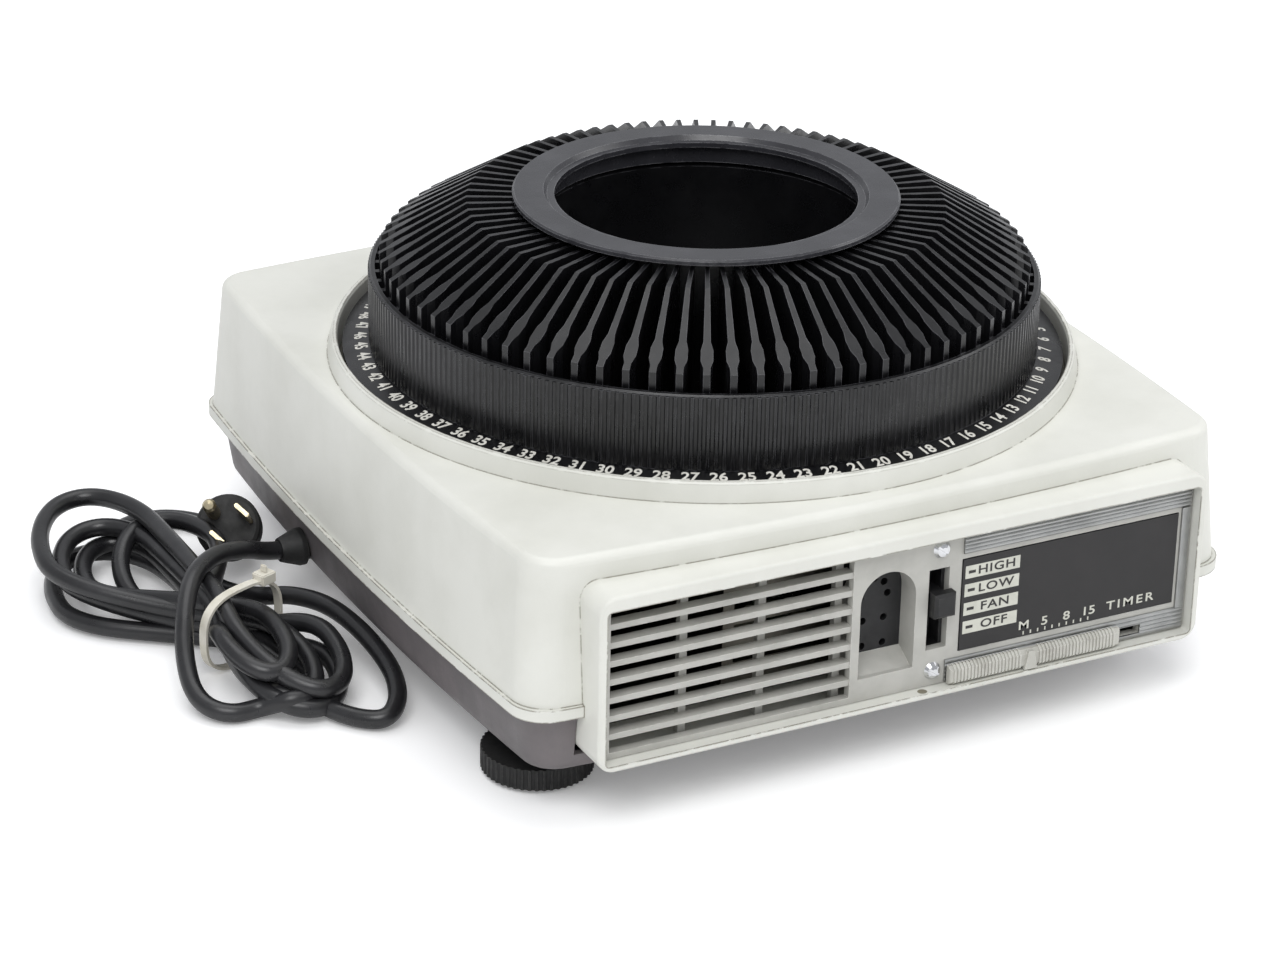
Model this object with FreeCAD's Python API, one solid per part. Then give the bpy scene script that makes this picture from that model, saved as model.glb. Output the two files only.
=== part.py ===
"""Slide projector with a round 80-slot rotary tray, as separate named solids in millimetres.

Frame: the origin is on the table under the middle of the machine, +Z is up, -Y is the rear with the
control panel, +Y is the lens side and +X is the operator's right-hand side.
"""
import math
import os

import FreeCAD
import Part

os.makedirs("parts", exist_ok=True)
V = FreeCAD.Vector
UP = V(0, 0, 1)
ALONG_X = V(1, 0, 0)
ALONG_Y = V(0, 1, 0)

# ---------------------------------------------------------------- fits and clearances
SKIN = 0.3            # gap kept between curved faces of different bodies
SLIDE_FIT = 0.25      # play of a piece that slides in its guide
SHAFT_FIT = 0.08      # radial play of a shaft in its bearing
SEAT = 0.25           # gap between a seated trim piece and its pocket

# ---------------------------------------------------------------- housing
LIP_HW = 129.5        # half width of the cover at the lip corners
LIP_HD = 135.6        # half depth of the cover at the lip corners
BOW = 5.5             # how far each side bulges at its middle
DRAFT = 4.0           # how far the walls lean in from lip to top
LIP_Z0 = 38.5
LIP_Z1 = 42.5
LIP_BEAD = 0.9        # how far the lip bead stands out
COVER_TOP = 90.8
COVER_T = 1.6
CORNER_R = 11.0
TOP_EDGE_R = 3.0

BASE_Z = 15.4
BASE_T = 2.2
BASE_TOP_IN = 2.4     # inset of the pan's rim from the lip corners
BASE_BOT_IN = 6.0
BASE_TOP_Z = 44.0
BASE_EDGE_R = 6.0

TRAY_X = 2.0          # tray axis, right of the middle of the body
RIM_TOP_Z = 97.5
RIM_R = 126.6         # crest of the raised well rim
RIM_FOOT_R = 129.0
WELL_R = 125.4
WELL_FLOOR_Z = 87.0
WELL_FLOOR_T = 1.6

# rear bezel and panel
OPEN_HW = 108.8       # half width of the opening in the bezel
BEZEL_SIDE = 2.6      # width of the bezel beside the opening
HOOD_HW = OPEN_HW + BEZEL_SIDE
HOOD_Z0 = 22.5
HOOD_Z1 = 83.0
HOOD_OUT = 12.4       # how far the bezel stands behind the lip corners
HOOD_IN = 13.6        # how far it reaches in past them
HOOD_Y = -(LIP_HD + HOOD_OUT)
HOOD_IN_Y = -(LIP_HD - HOOD_IN)
HOOD_R = 6.0
OPEN_Z0 = 24.8
OPEN_Z1 = 78.2
OPEN_R = 1.5
PANEL_RECESS = 4.5
PANEL_T = 3.0
PANEL_Y = HOOD_Y + PANEL_RECESS

ARCH_X = -6.6
ARCH_R = 10.2
GRILLE_X0 = -(OPEN_HW - 3.2)
GRILLE_X1 = ARCH_X - ARCH_R - 3.0
GRILLE_Z0 = 27.2
GRILLE_Z1 = 76.0
SLAT_COUNT = 7
SLAT_T = 2.0
BAR_W = 2.6            # grille bars behind the slats
BAR_COUNT = 3
ARCH_WALL = 1.6
ARCH_TOP_Z = 69.2
ARCH_Z0 = 33.0
ARCH_DEPTH = 9.0
SWITCH_X = 12.0
SWITCH_HW = 3.8
SWITCH_Z0 = 38.0
SWITCH_Z1 = 66.6
SWITCH_REST_Z = 54.7
PLATE_X0 = 20.6
PLATE_X1 = OPEN_HW - 5.4
PLATE_Z0 = 35.4
PLATE_Z1 = 68.0
PANEL_SCREWS = [(12.4, 73.4), (11.2, 30.2)]
SCREW_HEAD_R = 3.1
TIMER_Z = 28.4
TIMER_H = 6.4
TIMER_TRAVEL = 25.5
TIMER_X0 = PLATE_X0 - 4.6
TIMER_X1 = OPEN_HW - 1.8 - TIMER_TRAVEL
TIMER_SLOT_IN = 16.0  # the slot ends this far inside the slider's ends
TIMER_SLOT_HH = 1.6   # half height of the slot
TIMER_POINTER_X = TIMER_X0 + 30.3

# tray
SLOTS = 81
TRAY_PLATE_Z = 88.4
TRAY_PLATE_T = 0.8
TRAY_Z = 89.5
WALL_R = 114.3
WALL_T = 1.9
WALL_TOP_Z = 121.4
RING_R = 123.7
RING_Z = 94.8
HUB_R = 60.2
HUB_BORE_R = 57.7
FIN_TOP_Z = 144.5
HUB_TOP_Z = 145.8
FIN_KINK_R = 81.2
FIN_TIP_R = 110.8
FIN_TIP_Z = 127.0
LOCK_R = 65.8
LOCK_HOLE_R = 51.5
LOCK_TOP_Z = 148.0
LOCK_T = 1.9

# optics
GATE_X = 93.0
AXIS_Z = 60.0
SLIDE_SIZE = 50.8
SLIDE_T = 3.2
LENS_R = 19.0
LENS_Y1 = LIP_HD + 12.4
LENS_Y0 = LENS_Y1 - 110.0
GUIDE_T = 1.8
LENS_OPEN_R = 23.6
LAMP_X = -22.0
LAMP_Y = -92.0

MECH_Z = 26.0
MECH_T = 1.6
MECH_IN_LEFT = 17.5    # clearances of the mechanism plate inside the lip corners
MECH_IN_RIGHT = 11.5
MECH_IN_REAR = 16.6
MECH_IN_FRONT = 11.6
POST_CIRCLE = 119.5
POST_R = 2.5
SPACER_R = 4.0
POST_ANGLES = (165, 195, 100, 65, 276, 345)
SPACERS = [(-100, -70), (-100, 100), (100, 112), (100, -66), (0, -40), (0, 40)]
BOSS_R = 6.5

# control panel on the operator's side
SIDE_Y0 = 14.0
SIDE_Y1 = 104.0
SIDE_Z0 = 46.0
SIDE_Z1 = 84.2
SIDE_PLATE_TOP = 85.2
SIDE_PLATE_X = LIP_HW - 5.3
SIDE_PLATE_T = 2.0
SIDE_FLANGE = 3.0
BUTTON_R = 6.0
BUTTON_Y = 90.0
BUTTON_ZS = (74.0, 57.0)
SELECT_Y = 36.0
SELECT_Z = 60.0

# focus drive: a thumb wheel whose pinion meshes with a rack on the barrel
FOCUS_X = 118.0
FOCUS_Y = 66.0
FOCUS_MODULE = 1.0
FOCUS_TEETH = 9
WHEEL_TOP_Z = 83.4
RACK_T = 2.6

# fan motor and cam gear
MOTOR_X = -75.0
MOTOR_Z = 55.0
MOTOR_Y0 = 4.0
MOTOR_L = 32.0
FAN_R = 25.0
FAN_Y0 = -42.0
FAN_Y1 = -24.0
GEAR_MODULE = 1.25
PINION_TEETH = 12
GEAR_TEETH = 36
GEAR_Y = 46.0
GEAR_W = 5.0
CAM_R = 12.0
CAM_THROW = 4.0       # the cam's centre hangs this far below its shaft at rest

# slide lift lever
LEVER_X = 20.0
LEVER_Z = 40.0

# feet
FOOT_X = 0.0
FOOT_Y = LIP_HD - 23.6
FOOT_R = 6.5
RUBBER_R = 9.0
WHEEL_X = -(LIP_HW - 21.5)
WHEEL_Y = -(LIP_HD - 37.6)
WHEEL_R = 18.4
WHEEL_H = 8.9
STUD_R = 4.5
COVER_SCREWS = [
    (25.5 - LIP_HW, LIP_HD - 23.6), (LIP_HW - 25.5, LIP_HD - 37.6),
    (LIP_HW - 19.5, 55.6 - LIP_HD), (45.5 - LIP_HW, 23.6 - LIP_HD),
]

# mains cord
CORD_D = 6.4
CORD_EXIT_Y = 43.0
CORD_EXIT_Z = 22.5
RELIEF_NECK_R = 5.0
RELIEF_X0 = -(LIP_HW + 9.5)     # outer end of the strain relief
RELIEF_SEAT_X = RELIEF_X0 + 8.5
RELIEF_X1 = RELIEF_X0 + 19.0
HANK_Z0 = 1.7
NEAR_COIL = {"x": -166.0, "y": 8.0, "width": 54.0, "length": 106.0, "height": 25.0, "turn": 0.0}
FAR_COIL = {"x": -190.0, "y": 58.0, "width": 54.0, "length": 118.0, "height": 20.0, "turn": 12.0}
TIE_TURN = 45.0
PLUG_TAIL_Z = 4.0
PLUG_FACE_Z = 35.0
PLUG_MIDDLE = (PLUG_TAIL_Z + PLUG_FACE_Z) / 2
PRONG_GAP = 12.8
PRONG_T = 1.5
PRONG_L = 17.0
EARTH_R = 2.4
TAIL_RUN = 7.0
PLUG_TILT = 55.0
PLUG_TURN = 62.0
PLUG_AT = V(-143.5, 77.5, 16.5)
LEAD_ROUTE = [
    V(RELIEF_X0, CORD_EXIT_Y, CORD_EXIT_Z), V(RELIEF_X0 - 9.5, CORD_EXIT_Y, CORD_EXIT_Z),
    V(RELIEF_X0 - 19.0, CORD_EXIT_Y - 3.0, CORD_EXIT_Z - 4.5),
]
TAIL_ROUTE = [V(-137.0, 107.0, 3.8), V(-150.0, 121.0, 4.4), V(-168.0, 117.0, 7.0), V(-181.0, 102.0, 9.0)]
LOOP_ROUTE = [
    V(-151.0, 29.0, 13.5), V(-135.6, 10.0, 16.5), V(-132.5, -16.0, 15.0), V(-134.5, -42.0, 10.0),
    V(-143.0, -60.0, 4.6), V(-157.5, -62.0, 3.4), V(-162.0, -44.0, 4.0), V(-160.0, -27.0, 8.0),
]


# ---------------------------------------------------------------- small makers
def box(x0, x1, y0, y1, z0, z1):
    return Part.makeBox(x1 - x0, y1 - y0, z1 - z0, V(x0, y0, z0))


def rod(x, y, z, radius, length, axis=UP):
    return Part.makeCylinder(radius, length, V(x, y, z), axis)


def tube(x, y, z, outer, inner, length, axis=UP):
    return rod(x, y, z, outer, length, axis).cut(rod(x, y, z, inner, length, axis))


def face_of(points):
    return Part.Face(Part.makePolygon(points + [points[0]]))


def prism_xz(points, y0, y1):
    return face_of([V(x, y0, z) for x, z in points]).extrude(V(0, y1 - y0, 0))


def prism_xy(points, z0, z1):
    return face_of([V(x, y, z0) for x, y in points]).extrude(V(0, 0, z1 - z0))


def prism_yz(points, x0, x1):
    return face_of([V(x0, y, z) for y, z in points]).extrude(V(x1 - x0, 0, 0))


def turned(points, x, y):
    """Solid of revolution about a vertical axis from (radius, height) points."""
    return face_of([V(x + r, y, z) for r, z in points]).revolve(V(x, y, 0), UP, 360)


def turned_y(points, x, z):
    """Solid of revolution about an axis along Y from (radius, y) points."""
    return face_of([V(x + r, y, z) for r, y in points]).revolve(V(x, 0, z), ALONG_Y, 360)


def turned_x(points, y, z):
    """Solid of revolution about an axis along X from (x, radius) points."""
    return face_of([V(x, y, z + r) for x, r in points]).revolve(V(0, y, z), ALONG_X, 360)


def round_edges(shape, radius, keep):
    """Round every edge for which keep(edge) is true."""
    return shape.makeFillet(radius, [e for e in shape.Edges if keep(e)])


def runs_along(edge, axis):
    a, b = edge.Vertexes[0].Point, edge.Vertexes[-1].Point
    span = b.sub(a)
    return span.Length > 0.1 and abs(span.dot(axis)) > 0.98 * span.Length


def rounded_box_y(x0, x1, y0, y1, z0, z1, radius):
    block = box(x0, x1, y0, y1, z0, z1)
    return round_edges(block, radius, lambda e: runs_along(e, ALONG_Y))


def rounded_box_z(x0, x1, y0, y1, z0, z1, radius):
    block = box(x0, x1, y0, y1, z0, z1)
    return round_edges(block, radius, lambda e: runs_along(e, UP))


def spun(shape, count, x, y):
    """Copies of a shape turned about a vertical axis in equal steps."""
    copies = []
    for i in range(count):
        copy = shape.copy()
        copy.rotate(V(x, y, 0), UP, 360.0 * i / count)
        copies.append(copy)
    return copies


def save(name, *solids):
    shape = solids[0] if len(solids) == 1 else Part.makeCompound(list(solids))
    shape.exportStep("parts/" + name + ".step")


# ---------------------------------------------------------------- housing
def bowed_outline(half_w, half_d, corner, z):
    """Closed wire of four gently bowed sides joined by corner arcs of the given radius."""
    def side_point(along, across, t):
        bulge = BOW * (1.0 - t * t)
        return along * t, across + bulge

    points = []
    reach_x = 1.0 - corner / half_w
    reach_y = 1.0 - corner / half_d
    wires = []
    for quarter in range(4):
        wide = quarter % 2 == 0
        run, off, reach = (half_w, half_d, reach_x) if wide else (half_d, half_w, reach_y)
        ends = []
        for t in (reach, 0.0, -reach):
            u, v = side_point(run, off, t)
            ends.append(turn(u, v, quarter, z))
        wires.append(Part.Arc(*ends).toShape())
        points.append(ends)
    for quarter in range(4):
        a = points[quarter][2]
        b = points[(quarter + 1) % 4][0]
        corner_tip = turn(-(half_w if quarter % 2 == 0 else half_d),
                          (half_d if quarter % 2 == 0 else half_w), quarter, z)
        middle = a.add(b).multiply(0.5)
        tip = middle.add(corner_tip.sub(middle).multiply(0.46))
        wires.append(Part.Arc(a, tip, b).toShape())
    return Part.Wire(Part.__sortEdges__(wires))


def turn(u, v, quarter, z):
    for _ in range(quarter):
        u, v = -v, u
    return V(u, v, z)


def body_block(low_in, z0, high_in, z1, corner):
    low = bowed_outline(LIP_HW - low_in, LIP_HD - low_in, corner, z0)
    high = bowed_outline(LIP_HW - high_in, LIP_HD - high_in, corner, z1)
    return Part.makeLoft([low, high], True, True)


def lies_at(edge, z):
    return all(abs(v.Point.z - z) < 0.01 for v in edge.Vertexes)


def top_cover():
    outer = body_block(0.0, LIP_Z0, DRAFT, COVER_TOP, CORNER_R)
    outer = round_edges(outer, TOP_EDGE_R, lambda e: lies_at(e, COVER_TOP))
    bead = body_block(-LIP_BEAD, LIP_Z0, -LIP_BEAD, LIP_Z1, CORNER_R)
    inner = body_block(COVER_T, LIP_Z0 - 1, DRAFT + COVER_T, COVER_TOP - COVER_T, CORNER_R - COVER_T)
    hood = rounded_box_y(-HOOD_HW, HOOD_HW, HOOD_Y, HOOD_IN_Y, HOOD_Z0, HOOD_Z1, HOOD_R)
    hood = round_edges(hood, 1.2, lambda e: all(abs(v.Point.y - HOOD_Y) < 0.01 for v in e.Vertexes))
    hole = rounded_box_y(-OPEN_HW, OPEN_HW, HOOD_Y - 1, HOOD_IN_Y + 1, OPEN_Z0, OPEN_Z1, OPEN_R)
    rim_profile = [
        (WELL_R, WELL_FLOOR_Z - WELL_FLOOR_T),
        (WELL_R, RIM_TOP_Z - 1.0),
        (WELL_R + 0.4, RIM_TOP_Z),
        (RIM_R + 0.3, RIM_TOP_Z),
        (RIM_R + 1.0, RIM_TOP_Z - 0.7),
        (RIM_FOOT_R, COVER_TOP - 0.4),
        (WELL_R + COVER_T, COVER_TOP - COVER_T),
        (WELL_R + COVER_T, WELL_FLOOR_Z - WELL_FLOOR_T),
    ]
    rim = turned(rim_profile, TRAY_X, 0)
    well = rod(TRAY_X, 0, WELL_FLOOR_Z - 10, WELL_R, 60)
    lens_hole = rod(GATE_X, 100, AXIS_Z, LENS_OPEN_R, 60, ALONG_Y)
    side_hole = box(LIP_HW - 9.5, LIP_HW + 2 * BOW, SIDE_Y0, SIDE_Y1, SIDE_Z0, SIDE_Z1)
    shell = outer.fuse(bead).cut(inner).fuse(rim).fuse(hood)
    shell = shell.cut(well).cut(hole).cut(lens_hole).cut(side_hole)
    return shell


def base_pan():
    outer = body_block(BASE_BOT_IN, BASE_Z, BASE_TOP_IN, BASE_TOP_Z, CORNER_R)
    outer = round_edges(outer, BASE_EDGE_R, lambda e: lies_at(e, BASE_Z))
    inner = body_block(BASE_BOT_IN + BASE_T, BASE_Z + BASE_T, BASE_TOP_IN + BASE_T, BASE_TOP_Z + 1,
                       CORNER_R - BASE_T)
    pan = outer.cut(inner)
    notch = box(-HOOD_HW - SKIN, HOOD_HW + SKIN, HOOD_Y - 1, HOOD_IN_Y + SKIN, HOOD_Z0 - SKIN, BASE_TOP_Z + 1)
    pan = pan.cut(notch)
    pan = pan.cut(rod(GATE_X, 100, AXIS_Z, LENS_OPEN_R, 60, ALONG_Y))
    for row in range(7):
        y = -40.0 + row * 12.0
        pan = pan.cut(rounded_box_z(-85, 25, y, y + 5, BASE_Z - 1, BASE_Z + BASE_T + 1, 2.4))
    for x, y in COVER_SCREWS:
        pan = pan.cut(rod(x, y, BASE_Z - 1, 2.0, BASE_T + 2))
    pan = pan.cut(rod(WHEEL_X, WHEEL_Y, BASE_Z - 1, 4.6, 5))
    pan = pan.cut(rod(FOOT_X, FOOT_Y, BASE_Z - 1, FOOT_R + SLIDE_FIT, 5))
    cord_hole = rod(RELIEF_X0 - 1, CORD_EXIT_Y, CORD_EXIT_Z, RELIEF_NECK_R + 0.05, 30, ALONG_X)
    return pan.cut(cord_hole)


def well_floor():
    z0 = WELL_FLOOR_Z - WELL_FLOOR_T
    plate = rod(TRAY_X, 0, z0, WELL_R - SKIN, WELL_FLOOR_T)
    plate = plate.cut(rod(TRAY_X, 0, z0, 44.0, WELL_FLOOR_T))
    slot = box(TRAY_X + 63, TRAY_X + 118, -3.2, 3.2, z0, WELL_FLOOR_Z)
    plate = plate.cut(slot)
    track = tube(TRAY_X, 0, WELL_FLOOR_Z, 112.0, 109.0, 1.2)
    track = track.cut(box(TRAY_X + 60, TRAY_X + 120, -6, 6, WELL_FLOOR_Z, WELL_FLOOR_Z + 2))
    return plate.fuse(track)


# ---------------------------------------------------------------- rear panel
def rear_panel():
    y0, y1 = PANEL_Y, PANEL_Y + PANEL_T
    panel = rounded_box_y(-OPEN_HW + SEAT, OPEN_HW - SEAT, y0, y1, OPEN_Z0 + SEAT, OPEN_Z1 - SEAT, OPEN_R)
    panel = panel.cut(box(GRILLE_X0, GRILLE_X1, y0 - 1, y1 + 1, GRILLE_Z0, GRILLE_Z1))
    pitch = (GRILLE_Z1 - GRILLE_Z0 + SLAT_T) / (SLAT_COUNT + 1)
    for i in range(1, SLAT_COUNT + 1):
        z = GRILLE_Z0 - SLAT_T + i * pitch
        panel = panel.fuse(box(GRILLE_X0, GRILLE_X1, y0 + 0.4, y1 + 1.5, z, z + SLAT_T))
    arch_z = ARCH_TOP_Z - ARCH_R
    arch = box(ARCH_X - ARCH_R, ARCH_X + ARCH_R, y0 - 1, y0 + ARCH_DEPTH, ARCH_Z0, arch_z)
    arch = arch.fuse(rod(ARCH_X, y0 - 1, arch_z, ARCH_R, ARCH_DEPTH + 1, ALONG_Y))
    outer_r = ARCH_R + ARCH_WALL
    cup = box(ARCH_X - outer_r, ARCH_X + outer_r, y0 + 0.5, y0 + ARCH_DEPTH, ARCH_Z0 - ARCH_WALL, arch_z)
    cup = cup.fuse(rod(ARCH_X, y0 + 0.5, arch_z, outer_r, ARCH_DEPTH - 0.5, ALONG_Y))
    sill = prism_yz([(y0 + 0.2, ARCH_Z0 - 1.0), (y0 + ARCH_DEPTH, ARCH_Z0 + 4.4), (y0 + ARCH_DEPTH, ARCH_Z0 - 1.0)],
                    ARCH_X - ARCH_R, ARCH_X + ARCH_R)
    panel = panel.fuse(cup).cut(arch).fuse(sill)
    panel = panel.cut(box(SWITCH_X - SWITCH_HW, SWITCH_X + SWITCH_HW, y0 - 1, y1 + 1, SWITCH_Z0, SWITCH_Z1))
    panel = panel.cut(box(PLATE_X0 - SEAT, PLATE_X1 + SEAT, y0 - 1, y0 + 1.2, PLATE_Z0 - SEAT, PLATE_Z1 + SEAT))
    slot_z0, slot_z1 = TIMER_Z - TIMER_SLOT_HH, TIMER_Z + TIMER_SLOT_HH
    panel = panel.cut(box(TIMER_X0 + TIMER_SLOT_IN, TIMER_X1 + TIMER_TRAVEL - TIMER_SLOT_IN, y0 - 1, y1 + 1,
                          slot_z0, slot_z1))
    for x, z in PANEL_SCREWS:
        panel = panel.cut(rod(x, y0 - 1, z, 1.65, PANEL_T + 2, ALONG_Y))
    return panel


def grille_bars():
    y0 = PANEL_Y + PANEL_T + 1.5
    pitch = (GRILLE_X1 - GRILLE_X0 - BAR_W) / BAR_COUNT
    bars = []
    for i in range(1, BAR_COUNT + 1):
        x = GRILLE_X0 + i * pitch - BAR_W / 2
        bars.append(box(x, x + BAR_W, y0, y0 + BAR_W, GRILLE_Z0 - 1.5, GRILLE_Z1 + 1.0))
    return bars


def ribbed_strip(x0, x1, z0, z1, depth):
    """Rolled aluminium strip with shallow ribs along its length, proud of the panel by depth."""
    count = max(3, int((z1 - z0) / 1.35))
    pitch = (z1 - z0) / count
    front = PANEL_Y - depth
    points = [(PANEL_Y, z0)]
    for i in range(count):
        base = z0 + i * pitch
        points += [(front + 0.35, base), (front, base + 0.3 * pitch), (front, base + 0.7 * pitch)]
    points += [(front + 0.35, z1), (PANEL_Y, z1)]
    return prism_yz(points, x0, x1)


def trim_upper():
    return ribbed_strip(PLATE_X0, OPEN_HW - 1.0, PLATE_Z1 + 2.2, OPEN_Z1 - 1.2, 0.9)


def trim_lower():
    low = ribbed_strip(TIMER_X0 - 0.5, OPEN_HW - 1.0, OPEN_Z0 + 0.8, PLATE_Z0 - 2.2, 0.8)
    low = low.cut(box(TIMER_X0 + TIMER_SLOT_IN, TIMER_X1 + TIMER_TRAVEL - TIMER_SLOT_IN, PANEL_Y - 2, PANEL_Y + 1,
                      TIMER_Z - TIMER_SLOT_HH, TIMER_Z + TIMER_SLOT_HH))
    side = prism_xz([(PLATE_X1 + 1.2, PLATE_Z0 - 2.2), (OPEN_HW - 1.0, PLATE_Z0 - 2.2),
                     (OPEN_HW - 1.0, PLATE_Z1 + 1.8), (PLATE_X1 + 1.2, PLATE_Z1 + 1.8)],
                    PANEL_Y - 0.8, PANEL_Y)
    return [low, side]


def nameplate():
    return box(PLATE_X0, PLATE_X1, PANEL_Y - 0.3, PANEL_Y + 1.2, PLATE_Z0, PLATE_Z1)


def panel_screws():
    """Oval-head screws that hold the rear panel."""
    screws = []
    for x, z in PANEL_SCREWS:
        head = turned_y([(0, PANEL_Y - 1.9), (1.2, PANEL_Y - 1.75), (2.2, PANEL_Y - 1.3), (SCREW_HEAD_R, PANEL_Y),
                         (1.6, PANEL_Y), (1.6, PANEL_Y + 9), (0, PANEL_Y + 9)], x, z)
        slot = box(x - SCREW_HEAD_R, x + SCREW_HEAD_R, PANEL_Y - 2.2, PANEL_Y - 1.1, z - 0.4, z + 0.4)
        slot.rotate(V(x, 0, z), ALONG_Y, 35)
        screws.append(head.cut(slot))
    return screws


def remote_socket():
    y0 = PANEL_Y + ARCH_DEPTH
    arch_z = ARCH_TOP_Z - ARCH_R
    plug = box(ARCH_X - ARCH_R, ARCH_X + ARCH_R, y0, y0 + 9, ARCH_Z0 + 1, arch_z)
    plug = plug.fuse(rod(ARCH_X, y0, arch_z, ARCH_R, 9, ALONG_Y))
    holes = [(ARCH_X + dx, z) for dx in (-3.9, 3.9) for z in (39.5, 48.5)]
    for i in range(5):
        a = math.radians(45.0 * i)
        holes.append((ARCH_X + 5.0 * math.cos(a), 57.0 + 6.0 * math.sin(a)))
    for x, z in holes:
        plug = plug.cut(rod(x, y0 - 1, z, 1.3, 8, ALONG_Y))
    return plug


def switch_body():
    y0 = PANEL_Y + PANEL_T
    case = box(SWITCH_X - 6.5, SWITCH_X + 6.5, y0, y0 + 13, SWITCH_Z0 - 4, SWITCH_Z1 + 2.6)
    case = case.cut(box(SWITCH_X - 2.6, SWITCH_X + 2.6, y0 - 1, y0 + 6, SWITCH_Z0, SWITCH_Z1))
    return case


def switch_knob():
    z = SWITCH_REST_Z
    knob = box(SWITCH_X - 3.2, SWITCH_X + 4.6, PANEL_Y - 4.2, PANEL_Y - SLIDE_FIT, z - 4.2, z + 4.2)
    knob = knob.makeChamfer(1.0, [e for e in knob.Edges if all(v.Point.y < PANEL_Y - 4 for v in e.Vertexes)])
    stem = box(SWITCH_X - 2.3, SWITCH_X + 2.3, PANEL_Y - 1, PANEL_Y + PANEL_T + 5, z - 3.4, z + 3.4)
    return knob.fuse(stem)


def timer_body():
    y0 = PANEL_Y + PANEL_T
    case = box(TIMER_X0 + 12, TIMER_X1 + TIMER_TRAVEL - 2, y0, y0 + 12, TIMER_Z - 2.2, TIMER_Z + 5.2)
    groove_in = TIMER_SLOT_IN - 1.0
    return case.cut(box(TIMER_X0 + groove_in, TIMER_X1 + TIMER_TRAVEL - groove_in, y0 - 1, y0 + 5,
                        TIMER_Z - TIMER_SLOT_HH, TIMER_Z + TIMER_SLOT_HH))


def timer_slider():
    half = TIMER_H / 2
    back = PANEL_Y - 1.1
    front = back - 2.5
    bar = prism_yz([(back, TIMER_Z - half), (front + 1.2, TIMER_Z - half), (front, TIMER_Z - half + 1.2),
                    (front, TIMER_Z + half - 1.2), (front + 1.2, TIMER_Z + half), (back, TIMER_Z + half)],
                   TIMER_X0, TIMER_X1)
    bar = round_edges(bar, 1.0, lambda e: runs_along(e, UP) and e.Vertexes[0].Point.y < front + 0.1)
    stem = box(TIMER_X0 + 18, TIMER_X1 - 18, back - 0.5, PANEL_Y + PANEL_T + 4, TIMER_Z - 1.3, TIMER_Z + 1.3)
    pointer_x = TIMER_POINTER_X
    pointer = prism_xz([(pointer_x - 2.4, TIMER_Z - half), (pointer_x + 2.4, TIMER_Z - half),
                        (pointer_x + 1.0, TIMER_Z + half), (pointer_x - 1.0, TIMER_Z + half)], front - 0.9, front + 0.5)
    return bar.fuse(stem).fuse(pointer)


# ---------------------------------------------------------------- tray
def tray_plate():
    plate = tube(TRAY_X, 0, TRAY_PLATE_Z, WALL_R - WALL_T - 0.4, 61.0, TRAY_PLATE_T)
    return plate.cut(box(TRAY_X + 62.5, TRAY_X + 120, -2.5, 2.5, TRAY_PLATE_Z - 1, TRAY_PLATE_Z + 2))


def tray_fin():
    """One slot wall: thin at the hub, with a rounded stop close to the outer wall."""
    plan = [(HUB_R - 1.0, 0.65), (FIN_KINK_R, 0.8), (99.5, 1.15), (102.5, 2.0), (106.0, 2.0), (108.4, 1.15),
            (WALL_R - WALL_T + 0.6, 1.15)]
    points = plan + [(r, -half) for r, half in reversed(plan)]
    prism = prism_xy([(TRAY_X + r, y) for r, y in points], TRAY_Z, FIN_TOP_Z)
    side = [(HUB_R - 1.0, TRAY_Z), (WALL_R - WALL_T + 0.6, TRAY_Z), (WALL_R - WALL_T + 0.6, WALL_TOP_Z - 1.0),
            (FIN_TIP_R, WALL_TOP_Z - 1.0), (FIN_TIP_R, FIN_TIP_Z), (FIN_KINK_R, FIN_TOP_Z), (HUB_R - 1.0, FIN_TOP_Z)]
    fin = prism.common(prism_xz([(TRAY_X + r, z) for r, z in side], -4, 4))
    span = tube(TRAY_X, 0, TRAY_Z - 1, WALL_R - WALL_T, HUB_R, FIN_TOP_Z - TRAY_Z + 2)
    return fin.common(span)


def tray_fins():
    """Slot 0 sits over the gate, so the fins stand half a step to each side of it."""
    first = tray_fin()
    first.rotate(V(TRAY_X, 0, 0), UP, 180.0 / SLOTS)
    return spun(first, SLOTS, TRAY_X, 0)


def tray_body():
    """Outer wall with the number flange, and the hub; the fins join them."""
    wall = turned([
        (WALL_R - WALL_T, TRAY_Z), (WALL_R, TRAY_Z), (WALL_R, RING_Z - 1.2), (RING_R, RING_Z - 2.2),
        (RING_R, RING_Z - 1.0), (WALL_R, RING_Z + 0.6), (WALL_R, WALL_TOP_Z - 0.5), (WALL_R - 0.5, WALL_TOP_Z),
        (WALL_R - WALL_T, WALL_TOP_Z)], TRAY_X, 0)
    hub = turned([
        (HUB_BORE_R - 5.2, TRAY_Z), (HUB_R, TRAY_Z), (HUB_R, HUB_TOP_Z), (HUB_BORE_R, HUB_TOP_Z),
        (HUB_BORE_R, 137.0), (HUB_BORE_R - 1.6, 136.0), (HUB_BORE_R - 1.6, TRAY_Z + 2.0),
        (HUB_BORE_R - 5.2, TRAY_Z + 2.0)], TRAY_X, 0)
    return [wall, hub]


def lock_ring():
    top, flange_z = LOCK_TOP_Z, LOCK_TOP_Z - LOCK_T
    return turned([
        (LOCK_HOLE_R, top - 3.4), (LOCK_HOLE_R, top - 1.6), (54.0, top - 1.6), (55.2, top), (LOCK_R - 0.6, top),
        (LOCK_R, top - 0.6), (LOCK_R, flange_z), (HUB_BORE_R - SKIN, flange_z), (HUB_BORE_R - SKIN, 138.0),
        (55.0, 138.0), (55.0, top - 3.4)], TRAY_X, 0)


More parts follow.
